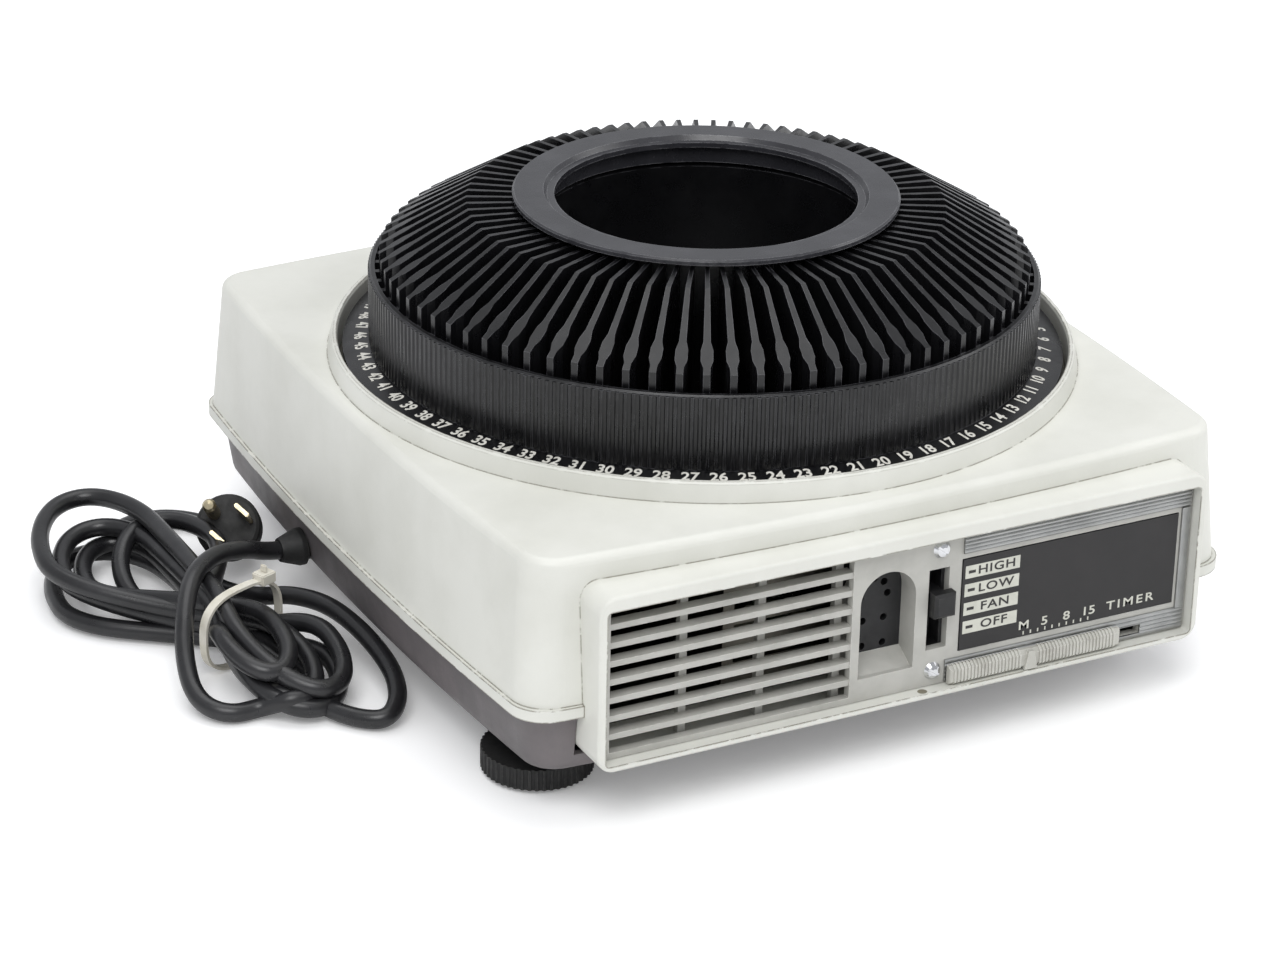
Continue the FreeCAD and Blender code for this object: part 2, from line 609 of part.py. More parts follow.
def tray_spindle():
    boss = turned([
        (0, 98.0), (44.0, 98.0), (46.5, 97.0), (48.0, 95.0), (50.0, 91.0), (50.0, WELL_FLOOR_Z),
        (43.7, WELL_FLOOR_Z), (43.7, 84.0), (42.0, 84.0), (42.0, 95.6), (0, 95.6)], TRAY_X, 0)
    key = rounded_box_z(TRAY_X - 6, TRAY_X + 6, 26, 44, 97.9, 103, 2.5)
    boss = boss.fuse(key)
    for i in range(4):
        a = math.radians(35 + 90 * i)
        boss = boss.fuse(rod(TRAY_X + 38.5 * math.cos(a), 38.5 * math.sin(a), MECH_Z + MECH_T, 3.0, 95.8 - MECH_Z - MECH_T))
    return boss


# ---------------------------------------------------------------- optics
def lens_barrel():
    bore = LENS_R - 2.0
    barrel = turned_y([
        (bore, LENS_Y0), (LENS_R - 0.6, LENS_Y0), (LENS_R, LENS_Y0 + 0.6), (LENS_R, LENS_Y1 - 1.0),
        (LENS_R - 1.0, LENS_Y1), (bore + 0.6, LENS_Y1), (bore, LENS_Y1 - 6.0)], GATE_X, AXIS_Z)
    for y in (LENS_Y0 + 6, 92.0, LENS_Y1 - 9.0):
        barrel = barrel.fuse(tube(GATE_X, y, AXIS_Z, bore + 0.5, bore - 2.0, 1.5, ALONG_Y))
    pitch_x = FOCUS_X - FOCUS_MODULE * FOCUS_TEETH / 2.0
    base_x = pitch_x - 0.9
    rack = box(GATE_X + LENS_R - 2.0, base_x, LENS_Y0 + 4, 104, AXIS_Z - RACK_T, AXIS_Z + RACK_T)
    tooth = [(base_x - 0.3, -0.95), (base_x, -0.85), (pitch_x + 0.75, -0.35), (pitch_x + 0.75, 0.35), (base_x, 0.85),
             (base_x - 0.3, 0.95)]
    pitch = math.pi * FOCUS_MODULE
    for i in range(-6, 12):
        y = FOCUS_Y + i * pitch
        rack = rack.fuse(prism_xy([(x, y + dy) for x, dy in tooth], AXIS_Z - RACK_T, AXIS_Z + RACK_T))
    return barrel.fuse(rack.cut(rod(GATE_X, LENS_Y0, AXIS_Z, bore + 0.5, 80, ALONG_Y)))


def spur_profile(teeth, module, x, y, turn_deg):
    """Outline points of a straight-sided gear with working clearance."""
    pitch_r = module * teeth / 2.0
    root, tip = pitch_r - 1.15 * module, pitch_r + 0.8 * module
    points = []
    for i in range(teeth):
        middle = math.radians(turn_deg) + 2 * math.pi * i / teeth
        for radius, half in ((root, 0.30), (tip, 0.105)):
            points.append((radius, middle - half * 2 * math.pi / teeth))
        for radius, half in ((tip, 0.105), (root, 0.30)):
            points.append((radius, middle + half * 2 * math.pi / teeth))
    return [(x + r * math.cos(a), y + r * math.sin(a)) for r, a in points]


def focus_knob():
    rim = rod(FOCUS_X, FOCUS_Y, WHEEL_TOP_Z - 4.2, 13.4, 4.2)
    groove = rod(FOCUS_X + 13.7, FOCUS_Y, WHEEL_TOP_Z - 5, 0.7, 6)
    for notch in spun(groove, 36, FOCUS_X, FOCUS_Y):
        rim = rim.cut(notch)
    shaft = rod(FOCUS_X, FOCUS_Y, 51.0, 1.5, WHEEL_TOP_Z - 53.0)
    half_turn = 180.0 + 180.0 / FOCUS_TEETH
    pinion = prism_xy(spur_profile(FOCUS_TEETH, FOCUS_MODULE, FOCUS_X, FOCUS_Y, half_turn), AXIS_Z - 3, AXIS_Z + 3)
    return rim.fuse(shaft).fuse(pinion)


def lens_guide():
    inner = LENS_R + SLIDE_FIT
    outer = inner + GUIDE_T
    guide = tube(GATE_X, 46, AXIS_Z, outer, inner, 72, ALONG_Y)
    guide = guide.cut(box(GATE_X + 10, GATE_X + 30, 45, 120, AXIS_Z - RACK_T - 1, AXIS_Z + RACK_T + 1))
    for y in (50.0, 106.0):
        leg = box(GATE_X - 14, GATE_X + 14, y, y + 6, MECH_Z + MECH_T, AXIS_Z - 8)
        guide = guide.fuse(leg.cut(rod(GATE_X, y - 1, AXIS_Z, inner, 8, ALONG_Y)))
    for z in (52.0, 67.0):
        arm = box(GATE_X + 15, FOCUS_X + 3.5, FOCUS_Y - 4, FOCUS_Y + 4, z, z + 2)
        arm = arm.cut(rod(GATE_X, FOCUS_Y - 5, AXIS_Z, inner, 10, ALONG_Y))
        guide = guide.fuse(arm.cut(rod(FOCUS_X, FOCUS_Y, z - 1, 1.5 + SHAFT_FIT, 4)))
    return guide


def lens_disc(y, radius, front, back, edge):
    """Lens across the Y axis: front and back are the bulges of its two faces."""
    disc = rod(GATE_X, y, AXIS_Z, radius, edge, ALONG_Y)
    for bulge, side in ((front, 1.0), (back, -1.0)):
        if bulge > 0:
            ball_r = (radius * radius + bulge * bulge) / (2 * bulge)
            face_y = y + edge if side > 0 else y
            centre = V(GATE_X, face_y + side * (bulge - ball_r), AXIS_Z)
            cap = Part.makeSphere(ball_r, centre).common(
                rod(GATE_X, face_y, AXIS_Z, radius, side * bulge if side > 0 else bulge, V(0, side, 0)))
            disc = disc.fuse(cap)
    return disc


def optic_disc_x(x, radius, bulge, edge):
    """Plano-convex condenser across the X axis."""
    ball_r = (radius * radius + bulge * bulge) / (2 * bulge)
    disc = rod(x, LAMP_Y, AXIS_Z, radius, edge, ALONG_X)
    cap = Part.makeSphere(ball_r, V(x + edge + bulge - ball_r, LAMP_Y, AXIS_Z))
    cap = cap.common(rod(x + edge, LAMP_Y, AXIS_Z, radius, bulge, ALONG_X))
    return disc.fuse(cap)


def condenser_lenses():
    return [optic_disc_x(22.2, 21.0, 5.0, 2.6), optic_disc_x(50.2, 21.0, 4.0, 2.6),
            lens_disc(-48.0, 21.0, 4.0, 0.0, 2.6)]


def lens_glasses():
    radius = LENS_R - 2.05
    return [lens_disc(LENS_Y1 - 7.4, radius, 3.0, 0.0, 2.4), lens_disc(93.6, radius, 0.0, 0.0, 3.0),
            lens_disc(LENS_Y0 + 7.6, radius, 2.5, 0.0, 3.0)]


def heat_glass():
    return box(36.2, 38.8, LAMP_Y - 22, LAMP_Y + 22, AXIS_Z - 22, AXIS_Z + 22)


def mirror():
    plate = box(-25, 25, 0, 2.0, AXIS_Z - 22, AXIS_Z + 22)
    plate.rotate(V(0, 0, 0), UP, 45)
    plate.translate(V(GATE_X + 2.0, LAMP_Y - 2.0, 0))
    return plate


def optics_bracket():
    z0 = MECH_Z + MECH_T
    floor = box(17, 113, LAMP_Y - 23.5, -36, z0, z0 + 1.4)
    bracket = floor
    for x in (20.0, 48.0):
        cradle = box(x, x + 5.2, LAMP_Y - 23.5, LAMP_Y + 23.5, z0, AXIS_Z + 4)
        cradle = cradle.cut(rod(x - 1, LAMP_Y, AXIS_Z, 18.5, 12, ALONG_X))
        bracket = bracket.fuse(cradle.cut(rod(x + 2.2, LAMP_Y, AXIS_Z, 21.05, 9, ALONG_X)))
    clip = box(34.2, 40.8, LAMP_Y - 23.5, LAMP_Y + 23.5, z0, 46.0)
    bracket = bracket.fuse(clip.cut(box(36.15, 38.85, LAMP_Y - 30, LAMP_Y + 22.05, AXIS_Z - 22, 60)))
    cradle = box(GATE_X - 23.5, GATE_X + 23, -50, -44.8, z0, AXIS_Z + 4)
    cradle = cradle.cut(rod(GATE_X, -52, AXIS_Z, 18.5, 12, ALONG_Y))
    bracket = bracket.fuse(cradle.cut(rod(GATE_X, -48, AXIS_Z, 21.05, 9, ALONG_Y)))
    holder = box(-20, 20, 2.05, 4.0, z0, 70.0)
    holder = holder.fuse(box(-20, 20, -1.6, 4.0, z0, AXIS_Z - 22))
    holder.rotate(V(0, 0, 0), UP, 45)
    holder.translate(V(GATE_X + 2.0, LAMP_Y - 2.0, 0))
    return bracket.fuse(holder)


def gate_frame():
    x0, x1 = GATE_X - 28.5, GATE_X + 28.5
    frame = box(x0, x1, -5, 5, MECH_Z + MECH_T, 84.6)
    half = SLIDE_SIZE / 2 + 0.6
    frame = frame.cut(box(GATE_X - half, GATE_X + half, -1.9, 1.9, AXIS_Z - half - 0.2, 90))
    frame = frame.cut(box(GATE_X - 19, GATE_X + 19, -8, 8, AXIS_Z - 19, AXIS_Z + 19))
    frame = frame.cut(box(x0 - 1, GATE_X + 4, -1.9, 1.9, 30.5, 90))
    for z in (37.0, 80.2):
        rail = box(28.0, x1 - 4, -10.2, -5, z, z + 2.4)
        frame = frame.fuse(rail)
    return frame


def gate_spring():
    return box(GATE_X + 20, GATE_X + 24, 1.4, 1.9, 38, 80)


def shutter():
    return box(GATE_X - 20, GATE_X + 20, -9.4, -8.6, 39.7, 79.9)


def slide_lifter():
    arm = prism_xz([(LEVER_X - 4, LEVER_Z - 4), (LEVER_X + 4, LEVER_Z - 5), (GATE_X - 8, 31.2), (GATE_X + 3, 31.2),
                    (GATE_X + 3, 33.2), (GATE_X - 8, 33.4), (LEVER_X + 4, LEVER_Z + 5), (LEVER_X - 4, LEVER_Z + 4)],
                   -1.2, 1.2)
    boss = rod(LEVER_X, -5, LEVER_Z, 5.0, 10, ALONG_Y)
    return arm.fuse(boss).cut(rod(LEVER_X, -6, LEVER_Z, 2.0 + SHAFT_FIT, 12, ALONG_Y))


def lifter_bracket():
    z0 = MECH_Z + MECH_T
    cheeks = box(LEVER_X - 5, LEVER_X + 5, -8, -5.6, z0, LEVER_Z + 5)
    cheeks = cheeks.fuse(box(LEVER_X - 5, LEVER_X + 5, 5.6, 8, z0, LEVER_Z + 5))
    cheeks = cheeks.fuse(box(LEVER_X - 5, LEVER_X + 5, -8, 8, z0, z0 + 1.4))
    return cheeks.fuse(rod(LEVER_X, -8, LEVER_Z, 2.0, 16, ALONG_Y))


# ---------------------------------------------------------------- lamp
def lamp_house():
    z0 = MECH_Z + MECH_T
    outer = box(-54, 10, -121, -63, z0, 84)
    house = outer.cut(box(-53, 9, -120, -64, z0 + 1, 83))
    house = house.cut(rod(5, LAMP_Y, AXIS_Z, 18, 10, ALONG_X))
    for i in range(5):
        z = 36.0 + i * 9.0
        house = house.cut(box(-50, 4, -123, -119, z, z + 4.5))
        house = house.cut(box(-50, 4, -65, -61, z, z + 4.5))
    return house.cut(rod(LAMP_X, LAMP_Y, z0 - 1, 16, 3))


def lamp_socket():
    z0 = MECH_Z + MECH_T
    socket = rod(LAMP_X, LAMP_Y, z0, 13.5, 9)
    return socket.cut(rod(LAMP_X, LAMP_Y, z0 + 3, 9.05, 9))


def lamp():
    z0 = MECH_Z + MECH_T
    return turned([(0, z0 + 3.1), (9.0, z0 + 3.1), (9.0, z0 + 12), (11.5, z0 + 14), (11.5, 72), (9.0, 77), (5.0, 80),
                   (0, 81)], LAMP_X, LAMP_Y)


def lamp_reflector():
    dish = Part.makeSphere(26.0, V(LAMP_X, LAMP_Y, AXIS_Z)).cut(Part.makeSphere(25.0, V(LAMP_X, LAMP_Y, AXIS_Z)))
    dish = dish.common(rod(LAMP_X - 27, LAMP_Y, AXIS_Z, 20.0, 16, ALONG_X))
    stand = box(LAMP_X - 25.0, LAMP_X - 22.6, LAMP_Y - 5, LAMP_Y + 5, MECH_Z + MECH_T + 1, AXIS_Z - 8)
    return dish.fuse(stand)


# ---------------------------------------------------------------- motor, fan and cam
def motor():
    body = rod(MOTOR_X, MOTOR_Y0, MOTOR_Z, 21.0, MOTOR_L, ALONG_Y)
    stack = rounded_box_y(MOTOR_X - 22, MOTOR_X + 22, MOTOR_Y0 + 8, MOTOR_Y0 + 24, MOTOR_Z - 22, MOTOR_Z + 22, 4)
    feet = box(MOTOR_X - 22, MOTOR_X + 22, MOTOR_Y0 + 8, MOTOR_Y0 + 24, MECH_Z + MECH_T, MOTOR_Z - 20)
    body = body.fuse(stack).fuse(feet)
    return body.cut(rod(MOTOR_X, MOTOR_Y0 - 1, MOTOR_Z, 2.5 + SHAFT_FIT, MOTOR_L + 2, ALONG_Y))


def in_xz(shape, x, y, z):
    """Stand a shape made flat about the origin up, so that its axis runs along Y."""
    shape.rotate(V(0, 0, 0), ALONG_X, -90)
    shape.translate(V(x, y, z))
    return shape


def motor_shaft():
    shaft = rod(MOTOR_X, FAN_Y0 - 1, MOTOR_Z, 2.5, GEAR_Y + GEAR_W + 2 - FAN_Y0, ALONG_Y)
    pinion = prism_xy(spur_profile(PINION_TEETH, GEAR_MODULE, 0, 0, 0), 0, GEAR_W + 1)
    return shaft.fuse(in_xz(pinion, MOTOR_X, GEAR_Y - 0.5, MOTOR_Z))


def fan_wheel():
    hub = tube(0, 0, 0, 8.0, 2.5, FAN_Y1 - FAN_Y0)
    blade = box(6, FAN_R, -0.6, 0.6, 1, FAN_Y1 - FAN_Y0 - 1)
    blade.rotate(V(0, 0, (FAN_Y1 - FAN_Y0) / 2), ALONG_X, 35)
    wheel = hub.multiFuse(spun(blade, 6, 0, 0)).common(rod(0, 0, 0, FAN_R, FAN_Y1 - FAN_Y0))
    wheel = wheel.cut(rod(0, 0, -1, 2.5, 40))
    return in_xz(wheel, MOTOR_X, FAN_Y0, MOTOR_Z)


def fan_housing():
    ring = tube(MOTOR_X, FAN_Y0 - 2, MOTOR_Z, FAN_R + 2.2, FAN_R + 1.2, FAN_Y1 - FAN_Y0 + 4, ALONG_Y)
    foot = box(MOTOR_X - 20, MOTOR_X + 20, FAN_Y0, FAN_Y1, MECH_Z + MECH_T, MOTOR_Z - 17)
    return ring.fuse(foot.cut(rod(MOTOR_X, FAN_Y0 - 3, MOTOR_Z, FAN_R + 1.2, 30, ALONG_Y)))


def cam_x():
    return MOTOR_X + GEAR_MODULE * (PINION_TEETH + GEAR_TEETH) / 2.0


def cam_gear():
    turn_deg = 180.0 + 180.0 / GEAR_TEETH
    gear = prism_xy(spur_profile(GEAR_TEETH, GEAR_MODULE, 0, 0, turn_deg), 0, GEAR_W)
    return in_xz(gear.cut(rod(0, 0, -1, 3.0, GEAR_W + 2)), cam_x(), GEAR_Y, MOTOR_Z)


def cam_shaft():
    shaft = rod(cam_x(), GEAR_Y - 7, MOTOR_Z, 3.0, 34, ALONG_Y)
    cam = rod(cam_x(), GEAR_Y + 9, MOTOR_Z - CAM_THROW, CAM_R, 5, ALONG_Y)
    return shaft.fuse(cam)


def cam_frame():
    z0 = MECH_Z + MECH_T
    x = cam_x()
    frame = box(x - 14, x + 14, GEAR_Y - 6, GEAR_Y + 24, z0, z0 + 1.4)
    for y in (GEAR_Y - 6, GEAR_Y + 22):
        frame = frame.fuse(box(x - 9, x + 9, y, y + 2, z0, MOTOR_Z + 8))
    return frame.cut(rod(x, GEAR_Y - 8, MOTOR_Z, 3.0 + SHAFT_FIT, 40, ALONG_Y))


def transformer():
    z0 = MECH_Z + MECH_T
    core = box(-22, 18, 52, 80, z0, z0 + 32)
    coil = rounded_box_y(-14, 10, 45, 87, z0 + 3, z0 + 29, 4)
    return core.fuse(coil)


def solenoid():
    z0 = MECH_Z + MECH_T
    coil = rod(34, 40, z0 + 12, 9.0, 26, ALONG_Y)
    yoke = box(23, 45, 38, 40, z0, z0 + 22).fuse(box(23, 45, 66, 68, z0, z0 + 22)).fuse(box(23, 45, 38, 68, z0, z0 + 1.6))
    return coil.fuse(yoke).cut(rod(34, 30, z0 + 12, 3.2, 36, ALONG_Y))


def solenoid_plunger():
    return rod(34, 26, MECH_Z + MECH_T + 12, 3.2 - SHAFT_FIT, 32, ALONG_Y)


# ---------------------------------------------------------------- chassis and controls
def mech_plate():
    plate = box(MECH_IN_LEFT - LIP_HW, LIP_HW - MECH_IN_RIGHT, MECH_IN_REAR - LIP_HD, LIP_HD - MECH_IN_FRONT,
                MECH_Z, MECH_Z + MECH_T)
    plate = plate.cut(box(-111, 20, -60, -50, MECH_Z - 1, MECH_Z + MECH_T + 1))
    plate = plate.cut(rod(LAMP_X, LAMP_Y, MECH_Z - 1, 12, 4))
    plate = plate.cut(rod(FOOT_X, FOOT_Y, MECH_Z - 1, FOOT_R + SLIDE_FIT, 4))
    plate = plate.cut(rod(WHEEL_X, WHEEL_Y, MECH_Z - 1, BOSS_R + 1.5, 4))
    return [plate] + spacers() + posts() + [tube(WHEEL_X, WHEEL_Y, BASE_Z + BASE_T, BOSS_R, STUD_R + SHAFT_FIT, 16)]


def spacers():
    """Short pillars between the pan and the mechanism plate."""
    z0 = BASE_Z + BASE_T
    return [rod(x, y, z0, SPACER_R, MECH_Z - z0) for x, y in SPACERS]


def posts():
    """Long pillars that carry the floor of the tray well."""
    z0, z1 = MECH_Z + MECH_T, WELL_FLOOR_Z - WELL_FLOOR_T
    pillars = []
    for angle in POST_ANGLES:
        a = math.radians(angle)
        pillars.append(rod(TRAY_X + POST_CIRCLE * math.cos(a), POST_CIRCLE * math.sin(a), z0, POST_R, z1 - z0))
    return pillars


def side_panel():
    x0 = SIDE_PLATE_X
    plate = box(x0, x0 + SIDE_PLATE_T, SIDE_Y0 - SIDE_FLANGE, SIDE_Y1 - 3, SIDE_Z0 - SIDE_FLANGE, SIDE_PLATE_TOP)
    plate = plate.cut(box(x0 - 1, x0 + 3, FOCUS_Y - 14.5, FOCUS_Y + 14.5, WHEEL_TOP_Z - 5.2, WHEEL_TOP_Z + 0.8))
    for z in BUTTON_ZS:
        plate = plate.cut(rod(x0 - 1, BUTTON_Y, z, BUTTON_R + SLIDE_FIT, 4, ALONG_X))
    plate = plate.cut(box(x0 - 1, x0 + 3, SELECT_Y - 14.25, SELECT_Y + 14.25, SELECT_Z - 4.25, SELECT_Z + 4.25))
    for y in (SIDE_Y0 + 2, SIDE_Y1 - 14):
        plate = plate.fuse(box(x0 - 12, x0 - 1, y, y + 8, MECH_Z + MECH_T, MECH_Z + MECH_T + 1.4))
        plate = plate.fuse(box(x0 - 2.4, x0 + 0.1, y, y + 8, MECH_Z + MECH_T, SIDE_Z0))
    return plate


def control_button(z):
    return turned_x([(SIDE_PLATE_X - 3, 0), (SIDE_PLATE_X - 3, BUTTON_R + 1.2), (SIDE_PLATE_X - 1.9, BUTTON_R + 1.2),
                     (SIDE_PLATE_X - 1.9, BUTTON_R), (SIDE_PLATE_X + 5.0, BUTTON_R), (SIDE_PLATE_X + 6.0, BUTTON_R - 1.2),
                     (SIDE_PLATE_X + 6.2, 0)], BUTTON_Y, z)


def select_bar():
    x = SIDE_PLATE_X
    bar = box(x - 1.5, x + 6.4, SELECT_Y - 14, SELECT_Y + 14, SELECT_Z - 4, SELECT_Z + 4)
    bar = round_edges(bar, 1.5, lambda e: all(v.Point.x > x + 6.3 for v in e.Vertexes))
    return bar.fuse(box(x - 3, x - 1.5, SELECT_Y - 16, SELECT_Y + 16, SELECT_Z - 5.5, SELECT_Z + 5.5))


def level_wheel():
    wheel = rod(WHEEL_X, WHEEL_Y, 1.6, WHEEL_R, WHEEL_H - 1.6)
    groove = rod(WHEEL_X + WHEEL_R + 0.35, WHEEL_Y, 0, 0.9, WHEEL_H + 2)
    wheel = wheel.cut(Part.makeCompound(spun(groove, 48, WHEEL_X, WHEEL_Y)))
    return wheel.fuse(rod(WHEEL_X, WHEEL_Y, WHEEL_H, STUD_R, 26))


def level_pad():
    return rod(WHEEL_X, WHEEL_Y, 0, 9.0, 1.6)


def elevate_foot():
    return turned([(0, 0), (8.0, 0), (8.5, 0.8), (8.5, 7), (FOOT_R, 9), (FOOT_R, 72), (0, 72)], FOOT_X, FOOT_Y)


def foot_guide():
    z0 = BASE_Z + BASE_T
    guide = tube(FOOT_X, FOOT_Y, z0, FOOT_R + 3.0, FOOT_R + SLIDE_FIT, MECH_Z - z0)
    return guide.fuse(tube(FOOT_X, FOOT_Y, MECH_Z + MECH_T, FOOT_R + 3.0, FOOT_R + SLIDE_FIT, 30))


def rubber_foot():
    return turned([(0, 0), (RUBBER_R - 1, 0), (RUBBER_R, 1), (RUBBER_R + 0.8, BASE_Z), (0, BASE_Z)], -WHEEL_X, WHEEL_Y)


def cover_screws():
    screws = []
    for x, y in COVER_SCREWS:
        head = turned([(0, BASE_Z - 1.8), (2.4, BASE_Z - 1.5), (3.4, BASE_Z), (1.9, BASE_Z), (1.9, BASE_Z + BASE_T),
                       (0, BASE_Z + BASE_T)], x, y)
        screws.append(head.cut(box(x - 4, x + 4, y - 0.4, y + 0.4, BASE_Z - 2, BASE_Z - 1)))
    return screws


# ---------------------------------------------------------------- mains cord
def cord_path(points):
    """Wire of straight runs joined by tangent arcs; returns it with the arcs' radii."""
    edges = []
    radii = []
    start = points[0]
    for before, corner, after in zip(points, points[1:], points[2:]):
        back = before.sub(corner)
        ahead = after.sub(corner)
        trim = 0.45 * min(back.Length, ahead.Length)
        half_turn = (math.pi - back.getAngle(ahead)) / 2.0
        back.normalize()
        ahead.normalize()
        enter = corner.add(back * trim)
        leave = corner.add(ahead * trim)
        radius = trim / math.tan(half_turn)
        inward = back.add(ahead)
        inward.normalize()
        middle = corner.add(inward * (radius / math.cos(half_turn) - radius))
        edges.append(Part.LineSegment(start, enter).toShape())
        edges.append(Part.Arc(enter, middle, leave).toShape())
        radii.append(radius)
        start = leave
    edges.append(Part.LineSegment(start, points[-1]).toShape())
    return Part.Wire(edges), radii


def cord_tube(points):
    path, radii = cord_path(points)
    disc = Part.Wire(Part.makeCircle(CORD_D / 2, points[0], points[1].sub(points[0])))
    solid = path.makePipeShell([disc], True, False)
    section = math.pi * CORD_D * CORD_D / 4
    print("cord arcs", [round(r, 1) for r in radii], "length", round(path.Length, 1),
          "volume", round(solid.Volume), "section x length", round(section * path.Length))
    return solid


def coil_block(coil):
    """Closed solid around one oval coil of cord lying on the table."""
    half_w, half_l = coil["width"] / 2, coil["length"] / 2
    z0, z1 = HANK_Z0, HANK_Z0 + coil["height"]
    block = rounded_box_z(-half_w, half_w, -half_l, half_l, z0, z1, half_w - 0.5)
    block = round_edges(block, coil["height"] * 0.42, lambda e: lies_at(e, z0) or lies_at(e, z1))
    block.rotate(V(0, 0, 0), UP, coil["turn"])
    block.translate(V(coil["x"], coil["y"], 0))
    return block


def cord_hank():
    return coil_block(NEAR_COIL).fuse(coil_block(FAR_COIL))


def cable_tie():
    half, height = 41.0, NEAR_COIL["height"] + 1.2
    z0 = HANK_Z0 - 0.5
    outer = rounded_box_y(-half - 1.2, half + 1.2, -2.4, 2.4, z0 - 1.2, z0 + height + 1.2, 11)
    inner = rounded_box_y(-half, half, -3, 3, z0, z0 + height, 10)
    head = box(15, 23, -3.6, 3.6, z0 + height + 0.2, z0 + height + 6.0)
    band = outer.cut(inner).fuse(head)
    band.rotate(V(0, 0, 0), UP, TIE_TURN)
    band.translate(V(NEAR_COIL["x"], -2.0, 0))
    return band


def strain_relief():
    x0, seat, x1 = RELIEF_X0, RELIEF_SEAT_X, RELIEF_X1
    flange_r = RELIEF_NECK_R + 1.6
    return turned_x([(x0, 0), (x0, RELIEF_NECK_R - 0.8), (seat - 1.9, flange_r), (seat, flange_r),
                     (seat, RELIEF_NECK_R), (x1, RELIEF_NECK_R), (x1, 0)], CORD_EXIT_Y, CORD_EXIT_Z)


def on_plug(shape):
    """Move a shape from the plug's own frame, axis along Z, to where the plug lies."""
    shape.translate(V(0, 0, -PLUG_MIDDLE))
    shape.rotate(V(0, 0, 0), ALONG_Y, -PLUG_TILT)
    shape.rotate(V(0, 0, 0), UP, PLUG_TURN)
    shape.translate(PLUG_AT)
    return shape


def plug():
    """Grounded plug: tail, grip, face, two flat prongs and a round one."""
    body = turned([(0, PLUG_TAIL_Z), (4.5, PLUG_TAIL_Z), (5.5, 12), (12, 18), (14.5, 22), (14.5, 33), (13, PLUG_FACE_Z),
                   (0, PLUG_FACE_Z)], 0, 0)
    root = PLUG_FACE_Z - 0.5
    for x in (-PRONG_GAP / 2, PRONG_GAP / 2):
        body = body.fuse(box(x - PRONG_T / 2, x + PRONG_T / 2, -0.3, 6.1, root, root + PRONG_L))
    body = body.fuse(rod(0, -6.5, root, EARTH_R, PRONG_L + 3.0))
    return on_plug(body)


def tail_route():
    """From the plug's tail, out behind the hank and into its far coil."""
    start = on_plug(Part.Vertex(V(0, 0, PLUG_TAIL_Z))).Point
    lead = on_plug(Part.Vertex(V(0, 0, PLUG_TAIL_Z - TAIL_RUN))).Point
    return [start, lead] + TAIL_ROUTE


def main():
    save("top_cover", top_cover())
    save("base_pan", base_pan())
    save("well_floor", well_floor())
    save("rear_panel", rear_panel())
    save("grille_bars", *grille_bars())
    save("trim_strips", trim_upper(), *trim_lower())
    save("nameplate", nameplate())
    save("case_screws", *panel_screws(), *cover_screws())
    save("remote_socket", remote_socket())
    save("switch_body", switch_body())
    save("switch_knob", switch_knob())
    save("timer_body", timer_body())
    save("timer_slider", timer_slider())
    save("tray_plate", tray_plate())
    save("tray_body", *tray_body())
    save("tray_fins", *tray_fins())
    save("lock_ring", lock_ring())
    save("tray_spindle", tray_spindle())
    save("lens_barrel", lens_barrel())
    save("lens_glasses", *lens_glasses())
    save("focus_knob", focus_knob())
    save("lens_guide", lens_guide())
    save("condenser_lenses", *condenser_lenses())
    save("heat_glass", heat_glass())
    save("mirror", mirror())
    save("optics_bracket", optics_bracket())
    save("gate_frame", gate_frame())
    save("gate_spring", gate_spring())
    save("shutter", shutter())
    save("slide_lifter", slide_lifter())
    save("lifter_bracket", lifter_bracket())
    save("lamp_house", lamp_house())
    save("lamp_socket", lamp_socket())
    save("lamp", lamp())
    save("lamp_reflector", lamp_reflector())
    save("motor", motor())
    save("motor_shaft", motor_shaft())
    save("fan_wheel", fan_wheel())
    save("fan_housing", fan_housing())
    save("cam_gear", cam_gear())
    save("cam_shaft", cam_shaft())
    save("cam_frame", cam_frame())
    save("transformer", transformer())
    save("solenoid", solenoid())
    save("solenoid_plunger", solenoid_plunger())
    save("mech_plate", *mech_plate())
    save("side_panel", side_panel())
    save("forward_button", control_button(BUTTON_ZS[0]))
    save("reverse_button", control_button(BUTTON_ZS[1]))
    save("select_bar", select_bar())
    save("level_wheel", level_wheel())
    save("level_pad", level_pad())
    save("elevate_foot", elevate_foot())
    save("foot_guide", foot_guide())
    save("rubber_foot", rubber_foot())
    save("cord_hank", cord_hank())
    save("power_cord", cord_tube(LEAD_ROUTE), cord_tube(LOOP_ROUTE), cord_tube(tail_route()))
    save("cable_tie", cable_tie())
    save("strain_relief", strain_relief())
    save("plug", plug())


main()
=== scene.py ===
"""Looks of a slide projector with a rotary tray: finishes, printed marks, cord, camera and light.

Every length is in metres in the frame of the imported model: +Z up, -Y the rear control panel.
"""

import logging
import math
from dataclasses import dataclass, field
from enum import Enum
from typing import Callable, Sequence

import bmesh
import bpy
from mathutils import Matrix, Vector


